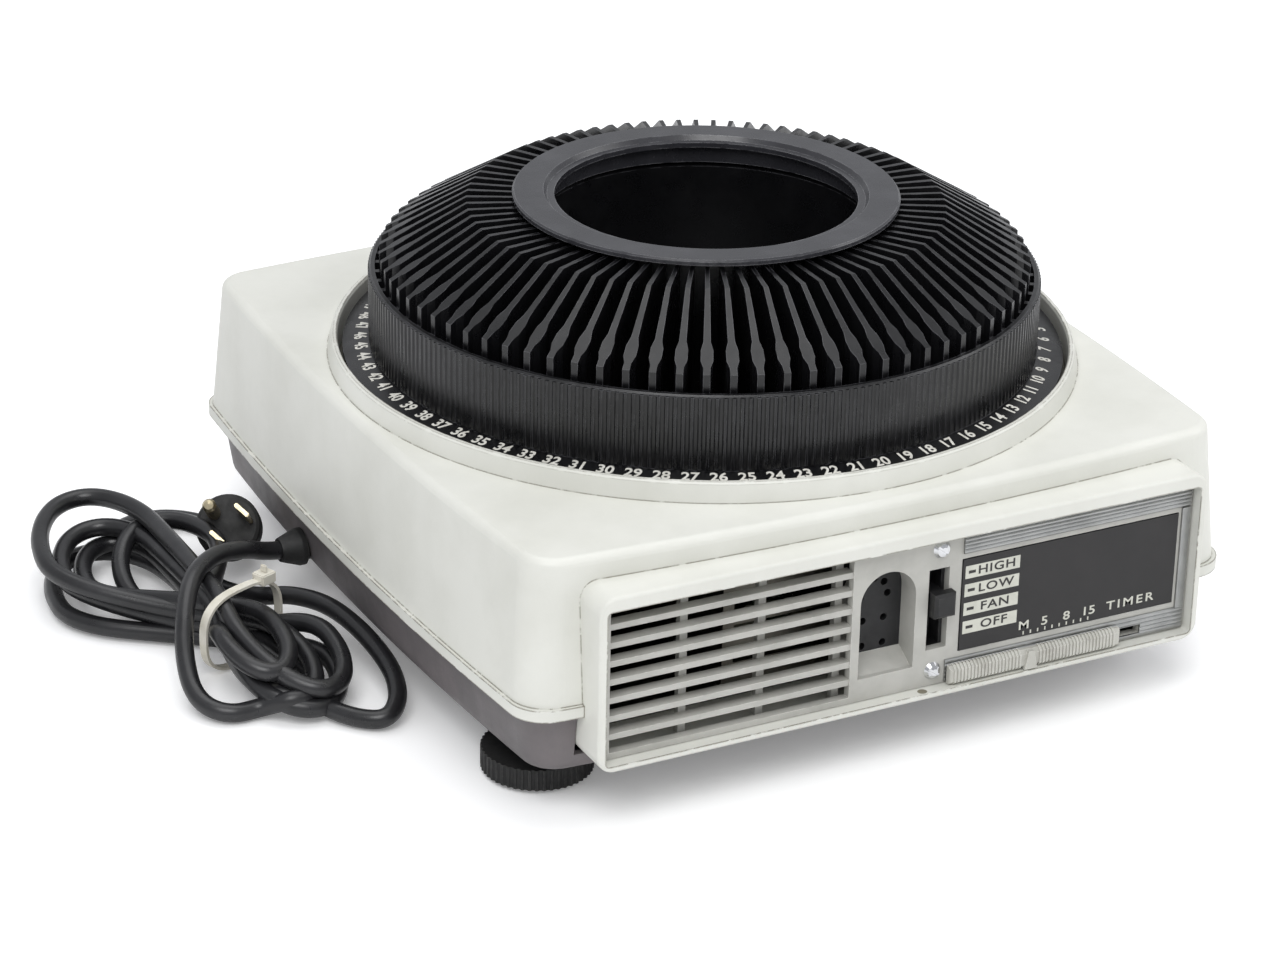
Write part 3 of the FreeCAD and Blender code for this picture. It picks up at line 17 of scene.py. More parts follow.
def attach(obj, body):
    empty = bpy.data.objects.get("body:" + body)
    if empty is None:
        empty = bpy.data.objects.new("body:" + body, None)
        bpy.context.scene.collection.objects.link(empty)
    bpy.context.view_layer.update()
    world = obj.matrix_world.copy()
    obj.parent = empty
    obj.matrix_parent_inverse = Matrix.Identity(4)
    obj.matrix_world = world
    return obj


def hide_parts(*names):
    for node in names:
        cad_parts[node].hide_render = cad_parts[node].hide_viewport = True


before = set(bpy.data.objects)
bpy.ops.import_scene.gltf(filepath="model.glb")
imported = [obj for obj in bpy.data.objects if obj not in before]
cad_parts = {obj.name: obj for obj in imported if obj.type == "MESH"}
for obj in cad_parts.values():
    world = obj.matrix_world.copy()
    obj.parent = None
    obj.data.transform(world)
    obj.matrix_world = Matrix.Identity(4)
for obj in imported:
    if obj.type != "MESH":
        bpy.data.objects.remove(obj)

LOG = logging.getLogger("projector")
MM = 0.001
BRUSH_STRETCH = 0.02  # grain along the brushing, as a share of the grain across it
Point = tuple[float, float, float]


# ------------------------------------------------------------------ colour and nodes
def linear(hex_code: str) -> tuple[float, float, float, float]:
    """Turn an sRGB hex code into a linear RGBA colour.

    Args:
        hex_code: Six hex digits with a leading #.

    Returns:
        The colour that a shader socket takes.
    """
    parts = [int(hex_code[i:i + 2], 16) / 255.0 for i in (1, 3, 5)]
    channels = [c / 12.92 if c <= 0.04045 else ((c + 0.055) / 1.055) ** 2.4 for c in parts]
    return (*channels, 1.0)


def add_node(tree: bpy.types.NodeTree, kind: str, settings: dict | None = None,
             inputs: dict | None = None) -> bpy.types.Node:
    """Add one node, set its properties and fill or link its inputs.

    Args:
        tree: The node tree that takes the node.
        kind: The node's type name, such as ShaderNodeTexNoise.
        settings: Property names and values.
        inputs: Input names or numbers, each with a value or with the output socket to link.

    Returns:
        The new node.
    """
    node = tree.nodes.new(kind)
    for name, value in (settings or {}).items():
        setattr(node, name, value)
    for key, value in (inputs or {}).items():
        if isinstance(value, bpy.types.NodeSocket):
            tree.links.new(value, node.inputs[key])
        else:
            node.inputs[key].default_value = value
    return node


class Grain(Enum):
    """How the fine relief of a surface runs."""

    STIPPLE = "moulded or sprayed, the same in every direction"
    BRUSHED_X = "drawn or brushed along X"
    TURNED = "rings around the vertical axis"
    POLISHED = "almost no relief"


@dataclass(frozen=True)
class Finish:
    """One real surface: its material, how it was made and how it has worn.

    Args:
        name: Name of the material and its process.
        base: Main colour as sRGB hex.
        cloud: Colour of its broad, faint variation.
        roughness: Lowest and highest roughness.
        metallic: 1 for bare metal.
        grain: Direction of the fine relief.
        grain_mm: Width of that relief's features.
        relief_mm: Depth of that relief.
        cloud_mm: Width of the broad variation.
        edge: Colour of the edge band, or None: wear on most finishes, a painted highlight on the glossy tray.
        edge_mm: Width of that edge band.
        edge_amount: Share of the edges that it covers.
        speck: Colour of small chips or dust, or None.
        speck_mm: Spacing of those specks.
        ior: Index of refraction of a non-metal.
        coat: Weight of a clear gloss layer.
    """

    name: str
    base: str
    cloud: str
    roughness: tuple[float, float]
    metallic: float = 0.0
    grain: Grain = Grain.STIPPLE
    grain_mm: float = 0.6
    relief_mm: float = 0.02
    cloud_mm: float = 40.0
    edge: str | None = None
    edge_mm: float = 0.6
    edge_amount: float = 0.5
    speck: str | None = None
    speck_mm: float = 9.0
    ior: float = 1.5
    coat: float = 0.0

    def build(self) -> bpy.types.Material:
        """Make the node material.

        Returns:
            The new material.
        """
        material = bpy.data.materials.new(self.name)
        material.use_nodes = True
        tree = material.node_tree
        tree.nodes.clear()
        place = add_node(tree, "ShaderNodeTexCoord").outputs["Object"]
        colour = self._colour(tree, place)
        rough_noise = add_node(tree, "ShaderNodeTexNoise", {}, {
            "Vector": place, "Scale": 1000.0 / (self.cloud_mm * 0.35), "Detail": 6.0, "Roughness": 0.65})
        rough = add_node(tree, "ShaderNodeMapRange", {}, {
            "Value": rough_noise.outputs["Fac"], "From Min": 0.3, "From Max": 0.7,
            "To Min": self.roughness[0], "To Max": self.roughness[1]})
        shader = add_node(tree, "ShaderNodeBsdfPrincipled", {}, {
            "Base Color": colour, "Metallic": self.metallic, "Roughness": rough.outputs["Result"],
            "Coat Weight": self.coat, "Coat Roughness": 0.12, "Normal": self._relief(tree, place)})
        if self.metallic < 0.5:
            shader.inputs["IOR"].default_value = self.ior
        add_node(tree, "ShaderNodeOutputMaterial", {}, {"Surface": shader.outputs["BSDF"]})
        return material

    def _colour(self, tree: bpy.types.NodeTree, place: bpy.types.NodeSocket) -> bpy.types.NodeSocket:
        """Base colour with clouding, specks and an edge band, which is wear on most finishes and a painted highlight on
        the tray.

        Args:
            tree: The material's node tree.
            place: Object coordinates.

        Returns:
            The colour.
        """
        cloud = add_node(tree, "ShaderNodeTexNoise", {}, {
            "Vector": place, "Scale": 1000.0 / self.cloud_mm, "Detail": 8.0, "Roughness": 0.6})
        fade = add_node(tree, "ShaderNodeMapRange", {}, {
            "Value": cloud.outputs["Fac"], "From Min": 0.42, "From Max": 0.68})
        colour = self._mix(tree, fade.outputs["Result"], linear(self.base), linear(self.cloud))
        if self.speck:
            cells = add_node(tree, "ShaderNodeTexVoronoi", {}, {
                "Vector": place, "Scale": 1000.0 / self.speck_mm, "Randomness": 1.0})
            breakup = add_node(tree, "ShaderNodeTexNoise", {}, {
                "Vector": place, "Scale": 1000.0 / (self.speck_mm * 2.2), "Detail": 5.0})
            size = add_node(tree, "ShaderNodeMapRange", {}, {
                "Value": breakup.outputs["Fac"], "From Min": 0.55, "From Max": 0.75, "To Min": 0.0, "To Max": 0.11})
            spot = add_node(tree, "ShaderNodeMath", {"operation": "LESS_THAN"}, {
                0: cells.outputs["Distance"], 1: size.outputs["Result"]})
            colour = self._mix(tree, spot.outputs["Value"], colour, linear(self.speck))
        if self.edge:
            # Edge band: real wear on most finishes, a painted highlight on the tray's black moulding.
            colour = self._mix(tree, self._worn(tree, place), colour, linear(self.edge))
        return colour

    def _worn(self, tree: bpy.types.NodeTree, place: bpy.types.NodeSocket) -> bpy.types.NodeSocket:
        """Mask of edges: worn by hands and dust on most finishes, a painted highlight on the glossy tray.

        Args:
            tree: The material's node tree.
            place: Object coordinates.

        Returns:
            The mask, 0 to 1.
        """
        rounded = add_node(tree, "ShaderNodeBevel", {"samples": 6}, {"Radius": self.edge_mm * MM})
        true_normal = add_node(tree, "ShaderNodeNewGeometry").outputs["Normal"]
        facing = add_node(tree, "ShaderNodeVectorMath", {"operation": "DOT_PRODUCT"}, {
            0: rounded.outputs["Normal"], 1: true_normal})
        bend = add_node(tree, "ShaderNodeMapRange", {}, {
            "Value": facing.outputs["Value"], "From Min": 0.995, "From Max": 0.86})
        patches = add_node(tree, "ShaderNodeTexNoise", {}, {
            "Vector": place, "Scale": 1000.0 / 7.0, "Detail": 9.0, "Roughness": 0.7})
        keep = add_node(tree, "ShaderNodeMapRange", {}, {
            "Value": patches.outputs["Fac"], "From Min": 0.62 - 0.3 * self.edge_amount,
            "From Max": 0.70 - 0.3 * self.edge_amount})
        both = add_node(tree, "ShaderNodeMath", {"operation": "MULTIPLY", "use_clamp": True}, {
            0: bend.outputs["Result"], 1: keep.outputs["Result"]})
        return both.outputs["Value"]

    def _relief(self, tree: bpy.types.NodeTree, place: bpy.types.NodeSocket) -> bpy.types.NodeSocket:
        """Normal with the surface's fine grain.

        Args:
            tree: The material's node tree.
            place: Object coordinates.

        Returns:
            The normal.
        """
        along_x = BRUSH_STRETCH if self.grain is Grain.BRUSHED_X else 1.0
        scaled = add_node(tree, "ShaderNodeMapping", {}, {"Vector": place, "Scale": (along_x, 1.0, 1.0)})
        source = scaled.outputs["Vector"]
        if self.grain is Grain.TURNED:
            apart = add_node(tree, "ShaderNodeSeparateXYZ", {}, {0: place})
            flat = add_node(tree, "ShaderNodeCombineXYZ", {}, {"X": apart.outputs["X"], "Y": apart.outputs["Y"]})
            reach = add_node(tree, "ShaderNodeVectorMath", {"operation": "LENGTH"}, {0: flat.outputs["Vector"]})
            source = add_node(tree, "ShaderNodeCombineXYZ", {}, {
                "X": reach.outputs["Value"], "Z": apart.outputs["Z"]}).outputs["Vector"]
        bumps = add_node(tree, "ShaderNodeTexNoise", {}, {
            "Vector": source, "Scale": 1000.0 / self.grain_mm, "Detail": 4.0, "Roughness": 0.55})
        return add_node(tree, "ShaderNodeBump", {}, {
            "Height": bumps.outputs["Fac"], "Distance": self.relief_mm * MM, "Strength": 1.0}).outputs["Normal"]

    @staticmethod
    def _mix(tree: bpy.types.NodeTree, factor: bpy.types.NodeSocket, low: object, high: object) -> bpy.types.NodeSocket:
        """Blend two colours by a factor socket."""
        node = add_node(tree, "ShaderNodeMix", {"data_type": "RGBA"}, {"Factor": factor, 6: low, 7: high})
        return node.outputs[2]


@dataclass(frozen=True)
class GlassFinish:
    """Clear glass with a faint tint.

    Args:
        name: Name of the glass and its process.
        tint: Transmission colour as sRGB hex.
        roughness: Lowest and highest roughness.
        ior: Index of refraction.
        dust_per_m: Clouds of dust in a metre.
    """

    name: str
    tint: str
    roughness: tuple[float, float] = (0.0, 0.04)
    ior: float = 1.52
    dust_per_m: float = 300.0

    def build(self) -> bpy.types.Material:
        """Make the node material.

        Returns:
            The new material.
        """
        material = bpy.data.materials.new(self.name)
        material.use_nodes = True
        tree = material.node_tree
        tree.nodes.clear()
        place = add_node(tree, "ShaderNodeTexCoord").outputs["Object"]
        dust = add_node(tree, "ShaderNodeTexNoise", {}, {"Vector": place, "Scale": self.dust_per_m, "Detail": 8.0})
        rough = add_node(tree, "ShaderNodeMapRange", {}, {
            "Value": dust.outputs["Fac"], "From Min": 0.5, "From Max": 0.8,
            "To Min": self.roughness[0], "To Max": self.roughness[1]})
        shader = add_node(tree, "ShaderNodeBsdfPrincipled", {}, {
            "Base Color": linear(self.tint), "Roughness": rough.outputs["Result"],
            "Transmission Weight": 1.0, "IOR": self.ior})
        add_node(tree, "ShaderNodeOutputMaterial", {}, {"Surface": shader.outputs["BSDF"]})
        return material


# ------------------------------------------------------------------ the finishes
# The grain of paint and mouldings is really 0.1 to 0.2 mm wide. It is drawn coarser here, so that it shows.

# Stove-enamelled steel over a grey-green primer that shows where the edges have chipped.
COVER_ENAMEL = Finish("enamelled_steel_grey_white", "#D9D9D2", "#CFCFC7", (0.36, 0.5), grain_mm=1.1, relief_mm=0.03,
                      cloud_mm=55.0, edge="#6A6556", edge_mm=0.9, edge_amount=0.72, speck="#7C7767", speck_mm=22.0)
# Sprayed steel pan: grey-brown and duller than the cover, paler where the spray ran thin on its edges.
PAN_PAINT = Finish("sprayed_pan_dark_grey_brown", "#625E5F", "#6F696A", (0.42, 0.6), grain_mm=0.8, relief_mm=0.05,
                   cloud_mm=30.0, edge="#8A847C", edge_mm=0.7, edge_amount=0.4)
# Injection-moulded grey panel: even and satin, with light edges and a little dust in its corners.
PANEL_GREY = Finish("moulded_styrene_grey", "#B4B3AD", "#A6A59F", (0.42, 0.58), grain_mm=0.5, relief_mm=0.02,
                    cloud_mm=18.0, edge="#D5D4CE", edge_mm=0.35, edge_amount=0.5, speck="#6F6D66", speck_mm=14.0)
# Moulded slider and buttons: paler than the panel, rubbed light on their ribs.
SLIDER_GREY = Finish("moulded_abs_pale_grey", "#B9B8B0", "#A9A79F", (0.4, 0.55), grain_mm=0.5, relief_mm=0.02,
                     cloud_mm=10.0, edge="#E3E2DC", edge_mm=0.3, edge_amount=0.6)
# Glossy black tray moulding; its thin edges carry a painted grey highlight.
TRAY_BLACK = Finish("moulded_styrene_gloss_black", "#0C0C0E", "#141416", (0.22, 0.4), grain_mm=0.9, relief_mm=0.012,
                    cloud_mm=25.0, edge="#5C5C60", edge_mm=0.35, edge_amount=0.6)
# Lock ring polished by hands: a greyer black with a soft sheen in rings.
RING_BLACK = Finish("moulded_lock_ring_grey_black", "#2E2E32", "#39393D", (0.2, 0.32), grain=Grain.TURNED,
                    grain_mm=1.2, relief_mm=0.02, cloud_mm=16.0, edge="#77777A", edge_mm=0.5, edge_amount=0.7)
# Phenolic of knobs and inserts: dull black, greyer where it is rubbed.
BLACK_MATTE = Finish("moulded_phenolic_black", "#151516", "#202022", (0.45, 0.62), grain_mm=0.5, relief_mm=0.03,
                     cloud_mm=14.0, edge="#4A4A4A", edge_mm=0.3, edge_amount=0.5)
# Moulded rubber of feet and plug: deep black without a clear reflection.
RUBBER_BLACK = Finish("moulded_rubber_black", "#161616", "#232322", (0.55, 0.75), grain_mm=0.7, relief_mm=0.05,
                      cloud_mm=12.0, edge="#4B4A48", edge_mm=0.5, edge_amount=0.5, ior=1.52)
# Extruded vinyl jacket: smooth, with a long soft highlight and a little dust.
CORD_VINYL = Finish("extruded_cord_jacket_black", "#1A1A1C", "#272729", (0.24, 0.4), grain_mm=1.5, relief_mm=0.03,
                    cloud_mm=20.0, speck="#3B3A38", speck_mm=16.0, ior=1.53)
# Rolled aluminium trim, clear lacquered: soft streaks along its length.
TRIM_ALUMINIUM = Finish("rolled_aluminium_ribbed", "#A6A7A6", "#939493", (0.28, 0.42), metallic=1.0,
                        grain=Grain.BRUSHED_X, grain_mm=0.3, relief_mm=0.02, cloud_mm=20.0)
# Zinc-plated sheet of the inside: grey metal with cloudy patches.
CHASSIS_STEEL = Finish("zinc_plated_steel_sheet", "#77746C", "#66635B", (0.35, 0.5), metallic=1.0,
                       grain_mm=2.0, relief_mm=0.02, cloud_mm=22.0)
# Plated screw heads: small, bright reflections.
SCREW_CHROME = Finish("plated_screw_chrome", "#D5D6D8", "#BFC0C2", (0.08, 0.22), metallic=1.0,
                      grain=Grain.POLISHED, grain_mm=1.0, relief_mm=0.005, cloud_mm=5.0)
# Silk-screened plate: even black with a satin sheen.
PLATE_ENAMEL = Finish("silk_screened_plate_black", "#0E0C0D", "#171415", (0.3, 0.42), grain_mm=0.5, relief_mm=0.01,
                      cloud_mm=15.0)
# Pale ink of strips and scale: dull and even.
PRINT_PALE = Finish("screen_print_pale_grey", "#C9C9BE", "#BDBDB2", (0.45, 0.6), grain_mm=0.3, relief_mm=0.004,
                    cloud_mm=6.0)
# Hot-stamped foil of the slot numbers: warm white, a little uneven.
PRINT_WHITE = Finish("hot_stamped_white", "#E4E2DA", "#CFCDC4", (0.45, 0.6), grain_mm=0.3, relief_mm=0.004,
                     cloud_mm=4.0)
# Black ink of the words on the strips: dull and even.
PRINT_DARK = Finish("screen_print_black", "#1E1C1C", "#2A2727", (0.4, 0.5), grain_mm=0.3, relief_mm=0.004,
                    cloud_mm=5.0)
# Natural nylon: milky yellow-white with a soft gloss.
GEAR_NYLON = Finish("moulded_nylon_natural", "#D8D2BE", "#C9C2AB", (0.4, 0.55), grain_mm=0.6, relief_mm=0.02,
                    cloud_mm=10.0)
# Drawn brass: warm yellow metal.
BRASS = Finish("drawn_brass", "#B08D4A", "#9A793B", (0.25, 0.4), metallic=1.0, grain_mm=0.4, relief_mm=0.01,
               cloud_mm=8.0)
# Nickelled brass prongs: silvery skin, yellow where it has worn.
PRONG_NICKEL = Finish("stamped_nickelled_brass", "#C2B79A", "#A89C80", (0.25, 0.42), metallic=1.0,
                      grain_mm=0.4, relief_mm=0.01, cloud_mm=6.0)
# Moulded tie: off-white, lighter along its edges.
TIE_NYLON = Finish("moulded_nylon_tie_white", "#DCD8CC", "#CBC6B6", (0.35, 0.5), grain_mm=0.5, relief_mm=0.02,
                   cloud_mm=8.0, edge="#F2F0E8", edge_mm=0.3)
# Silvered front of the mirror and the reflector: a clear image.
MIRROR_SILVER = Finish("first_surface_mirror", "#EDEEF0", "#E2E4E6", (0.01, 0.04), metallic=1.0,
                       grain=Grain.POLISHED, grain_mm=3.0, relief_mm=0.001, cloud_mm=30.0)
# Ground and polished glass: faint cool tint under a film of dust.
LENS_GLASS = GlassFinish("ground_lens_glass", "#E8F0F2")

NODE_FINISHES: dict[str, Finish | GlassFinish] = {
    "top_cover": COVER_ENAMEL, "base_pan": PAN_PAINT, "well_floor": CHASSIS_STEEL, "rear_panel": PANEL_GREY,
    "grille_bars": PANEL_GREY, "trim_strips": TRIM_ALUMINIUM, "nameplate": PLATE_ENAMEL,
    "case_screws": SCREW_CHROME, "remote_socket": BLACK_MATTE, "switch_body": BLACK_MATTE,
    "switch_knob": BLACK_MATTE, "timer_body": BLACK_MATTE, "timer_slider": SLIDER_GREY,
    "tray_plate": CHASSIS_STEEL, "tray_body": TRAY_BLACK, "tray_fins": TRAY_BLACK, "lock_ring": RING_BLACK,
    "tray_spindle": BLACK_MATTE,
    "lens_barrel": BLACK_MATTE, "lens_glasses": LENS_GLASS, "focus_knob": BLACK_MATTE,
    "lens_guide": TRIM_ALUMINIUM, "condenser_lenses": LENS_GLASS, "heat_glass": LENS_GLASS,
    "mirror": MIRROR_SILVER, "optics_bracket": CHASSIS_STEEL, "gate_frame": CHASSIS_STEEL, "gate_spring": BRASS,
    "shutter": CHASSIS_STEEL, "slide_lifter": CHASSIS_STEEL, "lifter_bracket": CHASSIS_STEEL,
    "lamp_house": CHASSIS_STEEL, "lamp_socket": GEAR_NYLON, "lamp": LENS_GLASS, "lamp_reflector": MIRROR_SILVER,
    "motor": CHASSIS_STEEL, "motor_shaft": CHASSIS_STEEL, "fan_wheel": TRIM_ALUMINIUM,
    "fan_housing": CHASSIS_STEEL, "cam_gear": GEAR_NYLON, "cam_shaft": CHASSIS_STEEL, "cam_frame": CHASSIS_STEEL,
    "transformer": CHASSIS_STEEL, "solenoid": BRASS, "solenoid_plunger": CHASSIS_STEEL,
    "mech_plate": CHASSIS_STEEL, "side_panel": PANEL_GREY, "forward_button": SLIDER_GREY,
    "reverse_button": SLIDER_GREY, "select_bar": SLIDER_GREY, "level_wheel": RUBBER_BLACK,
    "level_pad": RUBBER_BLACK, "elevate_foot": RUBBER_BLACK, "foot_guide": BLACK_MATTE,
    "rubber_foot": RUBBER_BLACK, "strain_relief": RUBBER_BLACK,
}


@dataclass
class Paint:
    """Makes each finish's material once and hands it out.

    Args:
        made: The materials made so far, by the finish's name.
    """

    made: dict[str, bpy.types.Material] = field(default_factory=dict)

    def of(self, finish: Finish | GlassFinish) -> bpy.types.Material:
        """Give the material of a finish.

        Args:
            finish: The finish wanted.

        Returns:
            Its material, made on first use.
        """
        if finish.name not in self.made:
            self.made[finish.name] = finish.build()
        return self.made[finish.name]


# ------------------------------------------------------------------ mesh helpers
def mesh_piece(name: str, build: Callable[[bmesh.types.BMesh], None], material: bpy.types.Material,
               body: str) -> bpy.types.Object:
    """Make a mesh object from a bmesh function and let it ride on a body.

    Args:
        name: Name of the piece.
        build: Function that fills the bmesh, in metres.
        material: The piece's material.
        body: The body that carries it.

    Returns:
        The new object.
    """
    shape = bmesh.new()
    build(shape)
    bmesh.ops.recalc_face_normals(shape, faces=shape.faces)
    mesh = bpy.data.meshes.new(name)
    shape.to_mesh(mesh)
    shape.free()
    mesh.materials.append(material)
    piece = bpy.data.objects.new(name, mesh)
    bpy.context.scene.collection.objects.link(piece)
    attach(piece, body)
    LOG.info("piece %s on %s: %d faces", name, body, len(mesh.polygons))
    return piece


def add_box(shape: bmesh.types.BMesh, low: Sequence[float], high: Sequence[float]) -> None:
    """Add a box between two corners.

    Args:
        shape: The bmesh that takes it.
        low: Lowest corner, in metres.
        high: Highest corner, in metres.
    """
    size = [b - a for a, b in zip(low, high)]
    middle = [(a + b) / 2 for a, b in zip(low, high)]
    matrix = Matrix.Translation(middle) @ Matrix.Diagonal((*size, 1.0))
    bmesh.ops.create_cube(shape, size=1.0, matrix=matrix)


def add_bevelled_box(shape: bmesh.types.BMesh, low: Sequence[float], high: Sequence[float], bevel: float,
                     matrix: Matrix) -> None:
    """Add a box with rounded edges.

    Args:
        shape: The bmesh that takes it.
        low: Lowest corner in its own frame, in millimetres.
        high: Highest corner in its own frame, in millimetres.
        bevel: Width of the rounding, in millimetres.
        matrix: From its own frame, in metres, to the scene.
    """
    block = bmesh.new()
    add_box(block, [v * MM for v in low], [v * MM for v in high])
    bmesh.ops.bevel(block, geom=list(block.edges), offset=bevel * MM, segments=2, affect="EDGES")
    mesh = bpy.data.meshes.new("bevelled_box")
    block.to_mesh(mesh)
    block.free()
    mesh.transform(matrix)
    shape.from_mesh(mesh)
    bpy.data.meshes.remove(mesh)


def add_lathe(shape: bmesh.types.BMesh, profile: Sequence[tuple[float, float]], steps: int, matrix: Matrix) -> None:
    """Add a closed turned form.

    Args:
        shape: The bmesh that takes it.
        profile: (radius, height) points from one end on the axis to the other.
        steps: Segments around.
        matrix: Where its axis, local Z, stands.
    """
    rings = []
    for radius, height in profile:
        if radius < 1e-7:
            rings.append([shape.verts.new(matrix @ Vector((0.0, 0.0, height)))])
            continue
        rings.append([
            shape.verts.new(matrix @ Vector((radius * math.cos(a), radius * math.sin(a), height)))
            for a in (math.tau * i / steps for i in range(steps))])
    for low, high in zip(rings, rings[1:]):
        for i in range(steps):
            j = (i + 1) % steps
            corners = [low[i % len(low)], low[j % len(low)], high[j % len(high)], high[i % len(high)]]
            shape.faces.new(list(dict.fromkeys(corners)))


def text_mesh(words: str, height: float, spread: float = 1.0, bold: float = 0.0,
              spacing: float = 1.0) -> bpy.types.Mesh:
    """Make flat lettering, centred on the origin in the XY plane.

    Args:
        words: The characters.
        height: Height of a capital letter.
        spread: Widening of the letters.
        bold: Extra weight of the strokes, as a share of the height.
        spacing: Distance between letters, 1 for the usual.

    Returns:
        The mesh of the filled letters, slightly thick.
    """
    curve = bpy.data.curves.new("lettering", "FONT")
    curve.body = words
    curve.align_x = "CENTER"
    curve.align_y = "CENTER"
    curve.size = height / 0.7
    curve.extrude = 0.03 * MM
    curve.offset = bold * height
    curve.space_character = spacing
    curve.resolution_u = 4
    holder = bpy.data.objects.new("lettering", curve)
    bpy.context.scene.collection.objects.link(holder)
    bpy.context.view_layer.update()
    mesh = bpy.data.meshes.new_from_object(holder)
    mesh.transform(Matrix.Diagonal((spread, 1.0, 1.0, 1.0)))
    bpy.data.objects.remove(holder)
    return mesh


def add_text(shape: bmesh.types.BMesh, words: str, height: float, matrix: Matrix, spread: float = 1.0,
             bold: float = 0.0, spacing: float = 1.0) -> None:
    """Add lettering to a bmesh at a place.

    Args:
        shape: The bmesh that takes it.
        words: The characters.
        height: Height of a capital letter.
        matrix: Where the middle of the lettering stands.
        spread: Widening of the letters.
        bold: Extra weight of the strokes, as a share of the height.
        spacing: Distance between letters, 1 for the usual.
    """
    mesh = text_mesh(words, height, spread, bold, spacing)
    mesh.transform(matrix)
    shape.from_mesh(mesh)
    bpy.data.meshes.remove(mesh)


# ------------------------------------------------------------------ camera, light and stage
@dataclass(frozen=True)
class SoftBox:
    """One square area light that faces the machine.

    Args:
        name: Its name.
        at: Where it hangs, in metres.
        size: Side of the square.
        power: Power in watts.
    """

    name: str
    at: Point
    size: float
    power: float


@dataclass(frozen=True)
class Studio:
    """Pale floor, soft lights and the camera behind the operator's left shoulder.

    Args:
        camera_at: Where the camera stands, in metres.
        look_along: The direction it looks in.
        roll_deg: Its turn about that direction.
        lens_mm: Focal length on a 36 mm frame.
        boxes: The lights.
        light_aim: The point that the lights face.
        world_strength: Strength of the surroundings as a light.
        floor_size: Side of the paper floor.
        floor_lift: Glow that keeps the paper white for the camera alone.
        floor_albedo: Darkest and lightest reflectance of the paper.
    """

    camera_at: Point = (-0.5851, -1.0736, 0.6020)
    look_along: Point = (0.42248, 0.80431, -0.41785)
    roll_deg: float = 1.13
    lens_mm: float = 108.07
    boxes: tuple[SoftBox, ...] = (
        SoftBox("key_light", (-0.9, -1.2, 1.9), 1.3, 25.5),
        SoftBox("top_light", (0.2, 0.5, 2.2), 1.8, 16.5),
        SoftBox("side_light", (1.6, -0.7, 1.0), 1.2, 10.0))
    light_aim: Point = (0.0, 0.0, 0.05)
    world_strength: float = 0.62
    floor_size: float = 12.0
    floor_lift: float = 0.16
    floor_albedo: tuple[float, float] = (0.96, 0.99)

    def place_camera(self) -> None:
        """Make the camera and set it as the scene's camera."""
        data = bpy.data.cameras.new("main_camera")
        data.sensor_width = 36.0
        data.lens = self.lens_mm
        data.clip_start = 0.05
        camera = bpy.data.objects.new("main_camera", data)
        bpy.context.scene.collection.objects.link(camera)
        aim = Vector(self.look_along).to_track_quat("-Z", "Y").to_matrix().to_4x4()
        camera.matrix_world = Matrix.Translation(self.camera_at) @ aim @ Matrix.Rotation(
            math.radians(self.roll_deg), 4, "Z")
        bpy.context.scene.camera = camera

    def light(self) -> None:
        """Hang the soft boxes above and beside the machine."""
        for box in self.boxes:
            data = bpy.data.lights.new(box.name, "AREA")
            data.size = box.size
            data.energy = box.power
            lamp = bpy.data.objects.new(box.name, data)
            bpy.context.scene.collection.objects.link(lamp)
            direction = Vector(self.light_aim) - Vector(box.at)
            lamp.matrix_world = Matrix.Translation(box.at) @ direction.to_track_quat("-Z", "Y").to_matrix().to_4x4()

    def set_world(self) -> None:
        """White surroundings for the camera, a little darker as a light."""
        world = bpy.data.worlds.new("studio_world")
        world.use_nodes = True
        bpy.context.scene.world = world
        tree = world.node_tree
        tree.nodes.clear()
        seen = add_node(tree, "ShaderNodeLightPath").outputs["Is Camera Ray"]
        lit = add_node(tree, "ShaderNodeBackground", {}, {"Color": linear("#F4F6FA"), "Strength": self.world_strength})
        shown = add_node(tree, "ShaderNodeBackground", {}, {"Color": linear("#FFFFFF"), "Strength": 1.0})
        either = add_node(tree, "ShaderNodeMixShader", {}, {0: seen, 1: lit.outputs[0], 2: shown.outputs[0]})
        add_node(tree, "ShaderNodeOutputWorld", {}, {"Surface": either.outputs[0]})

    def lay_floor(self) -> None:
        """Wide white sweep of paper under the machine."""
        half = self.floor_size / 2
        mesh = bpy.data.meshes.new("paper_floor")
        mesh.from_pydata([(-half, -half, 0), (half, -half, 0), (half, half, 0), (-half, half, 0)], [], [(0, 1, 2, 3)])
        floor = bpy.data.objects.new("paper_floor", mesh)
        bpy.context.scene.collection.objects.link(floor)
        mesh.materials.append(self.paper())

    def paper(self) -> bpy.types.Material:
        """Uncoated seamless paper: dull white with a faint fibre, and no shine.

        Returns:
            The floor's material.
        """
        material = bpy.data.materials.new("seamless_paper_white")
        material.use_nodes = True
        tree = material.node_tree
        tree.nodes.clear()
        place = add_node(tree, "ShaderNodeTexCoord").outputs["Object"]
        fibre = add_node(tree, "ShaderNodeTexNoise", {}, {"Vector": place, "Scale": 600.0, "Detail": 4.0})
        tone = add_node(tree, "ShaderNodeMapRange", {}, {
            "Value": fibre.outputs["Fac"], "To Min": self.floor_albedo[0], "To Max": self.floor_albedo[1]})
        shader = add_node(tree, "ShaderNodeBsdfDiffuse", {}, {"Color": tone.outputs["Result"]})
        seen = add_node(tree, "ShaderNodeLightPath").outputs["Is Camera Ray"]
        lift = add_node(tree, "ShaderNodeMath", {"operation": "MULTIPLY"}, {0: seen, 1: self.floor_lift})
        glow = add_node(tree, "ShaderNodeEmission", {}, {"Strength": lift.outputs["Value"]})
        both = add_node(tree, "ShaderNodeAddShader", {}, {0: shader.outputs["BSDF"], 1: glow.outputs["Emission"]})
        add_node(tree, "ShaderNodeOutputMaterial", {}, {"Surface": both.outputs[0]})
        return material

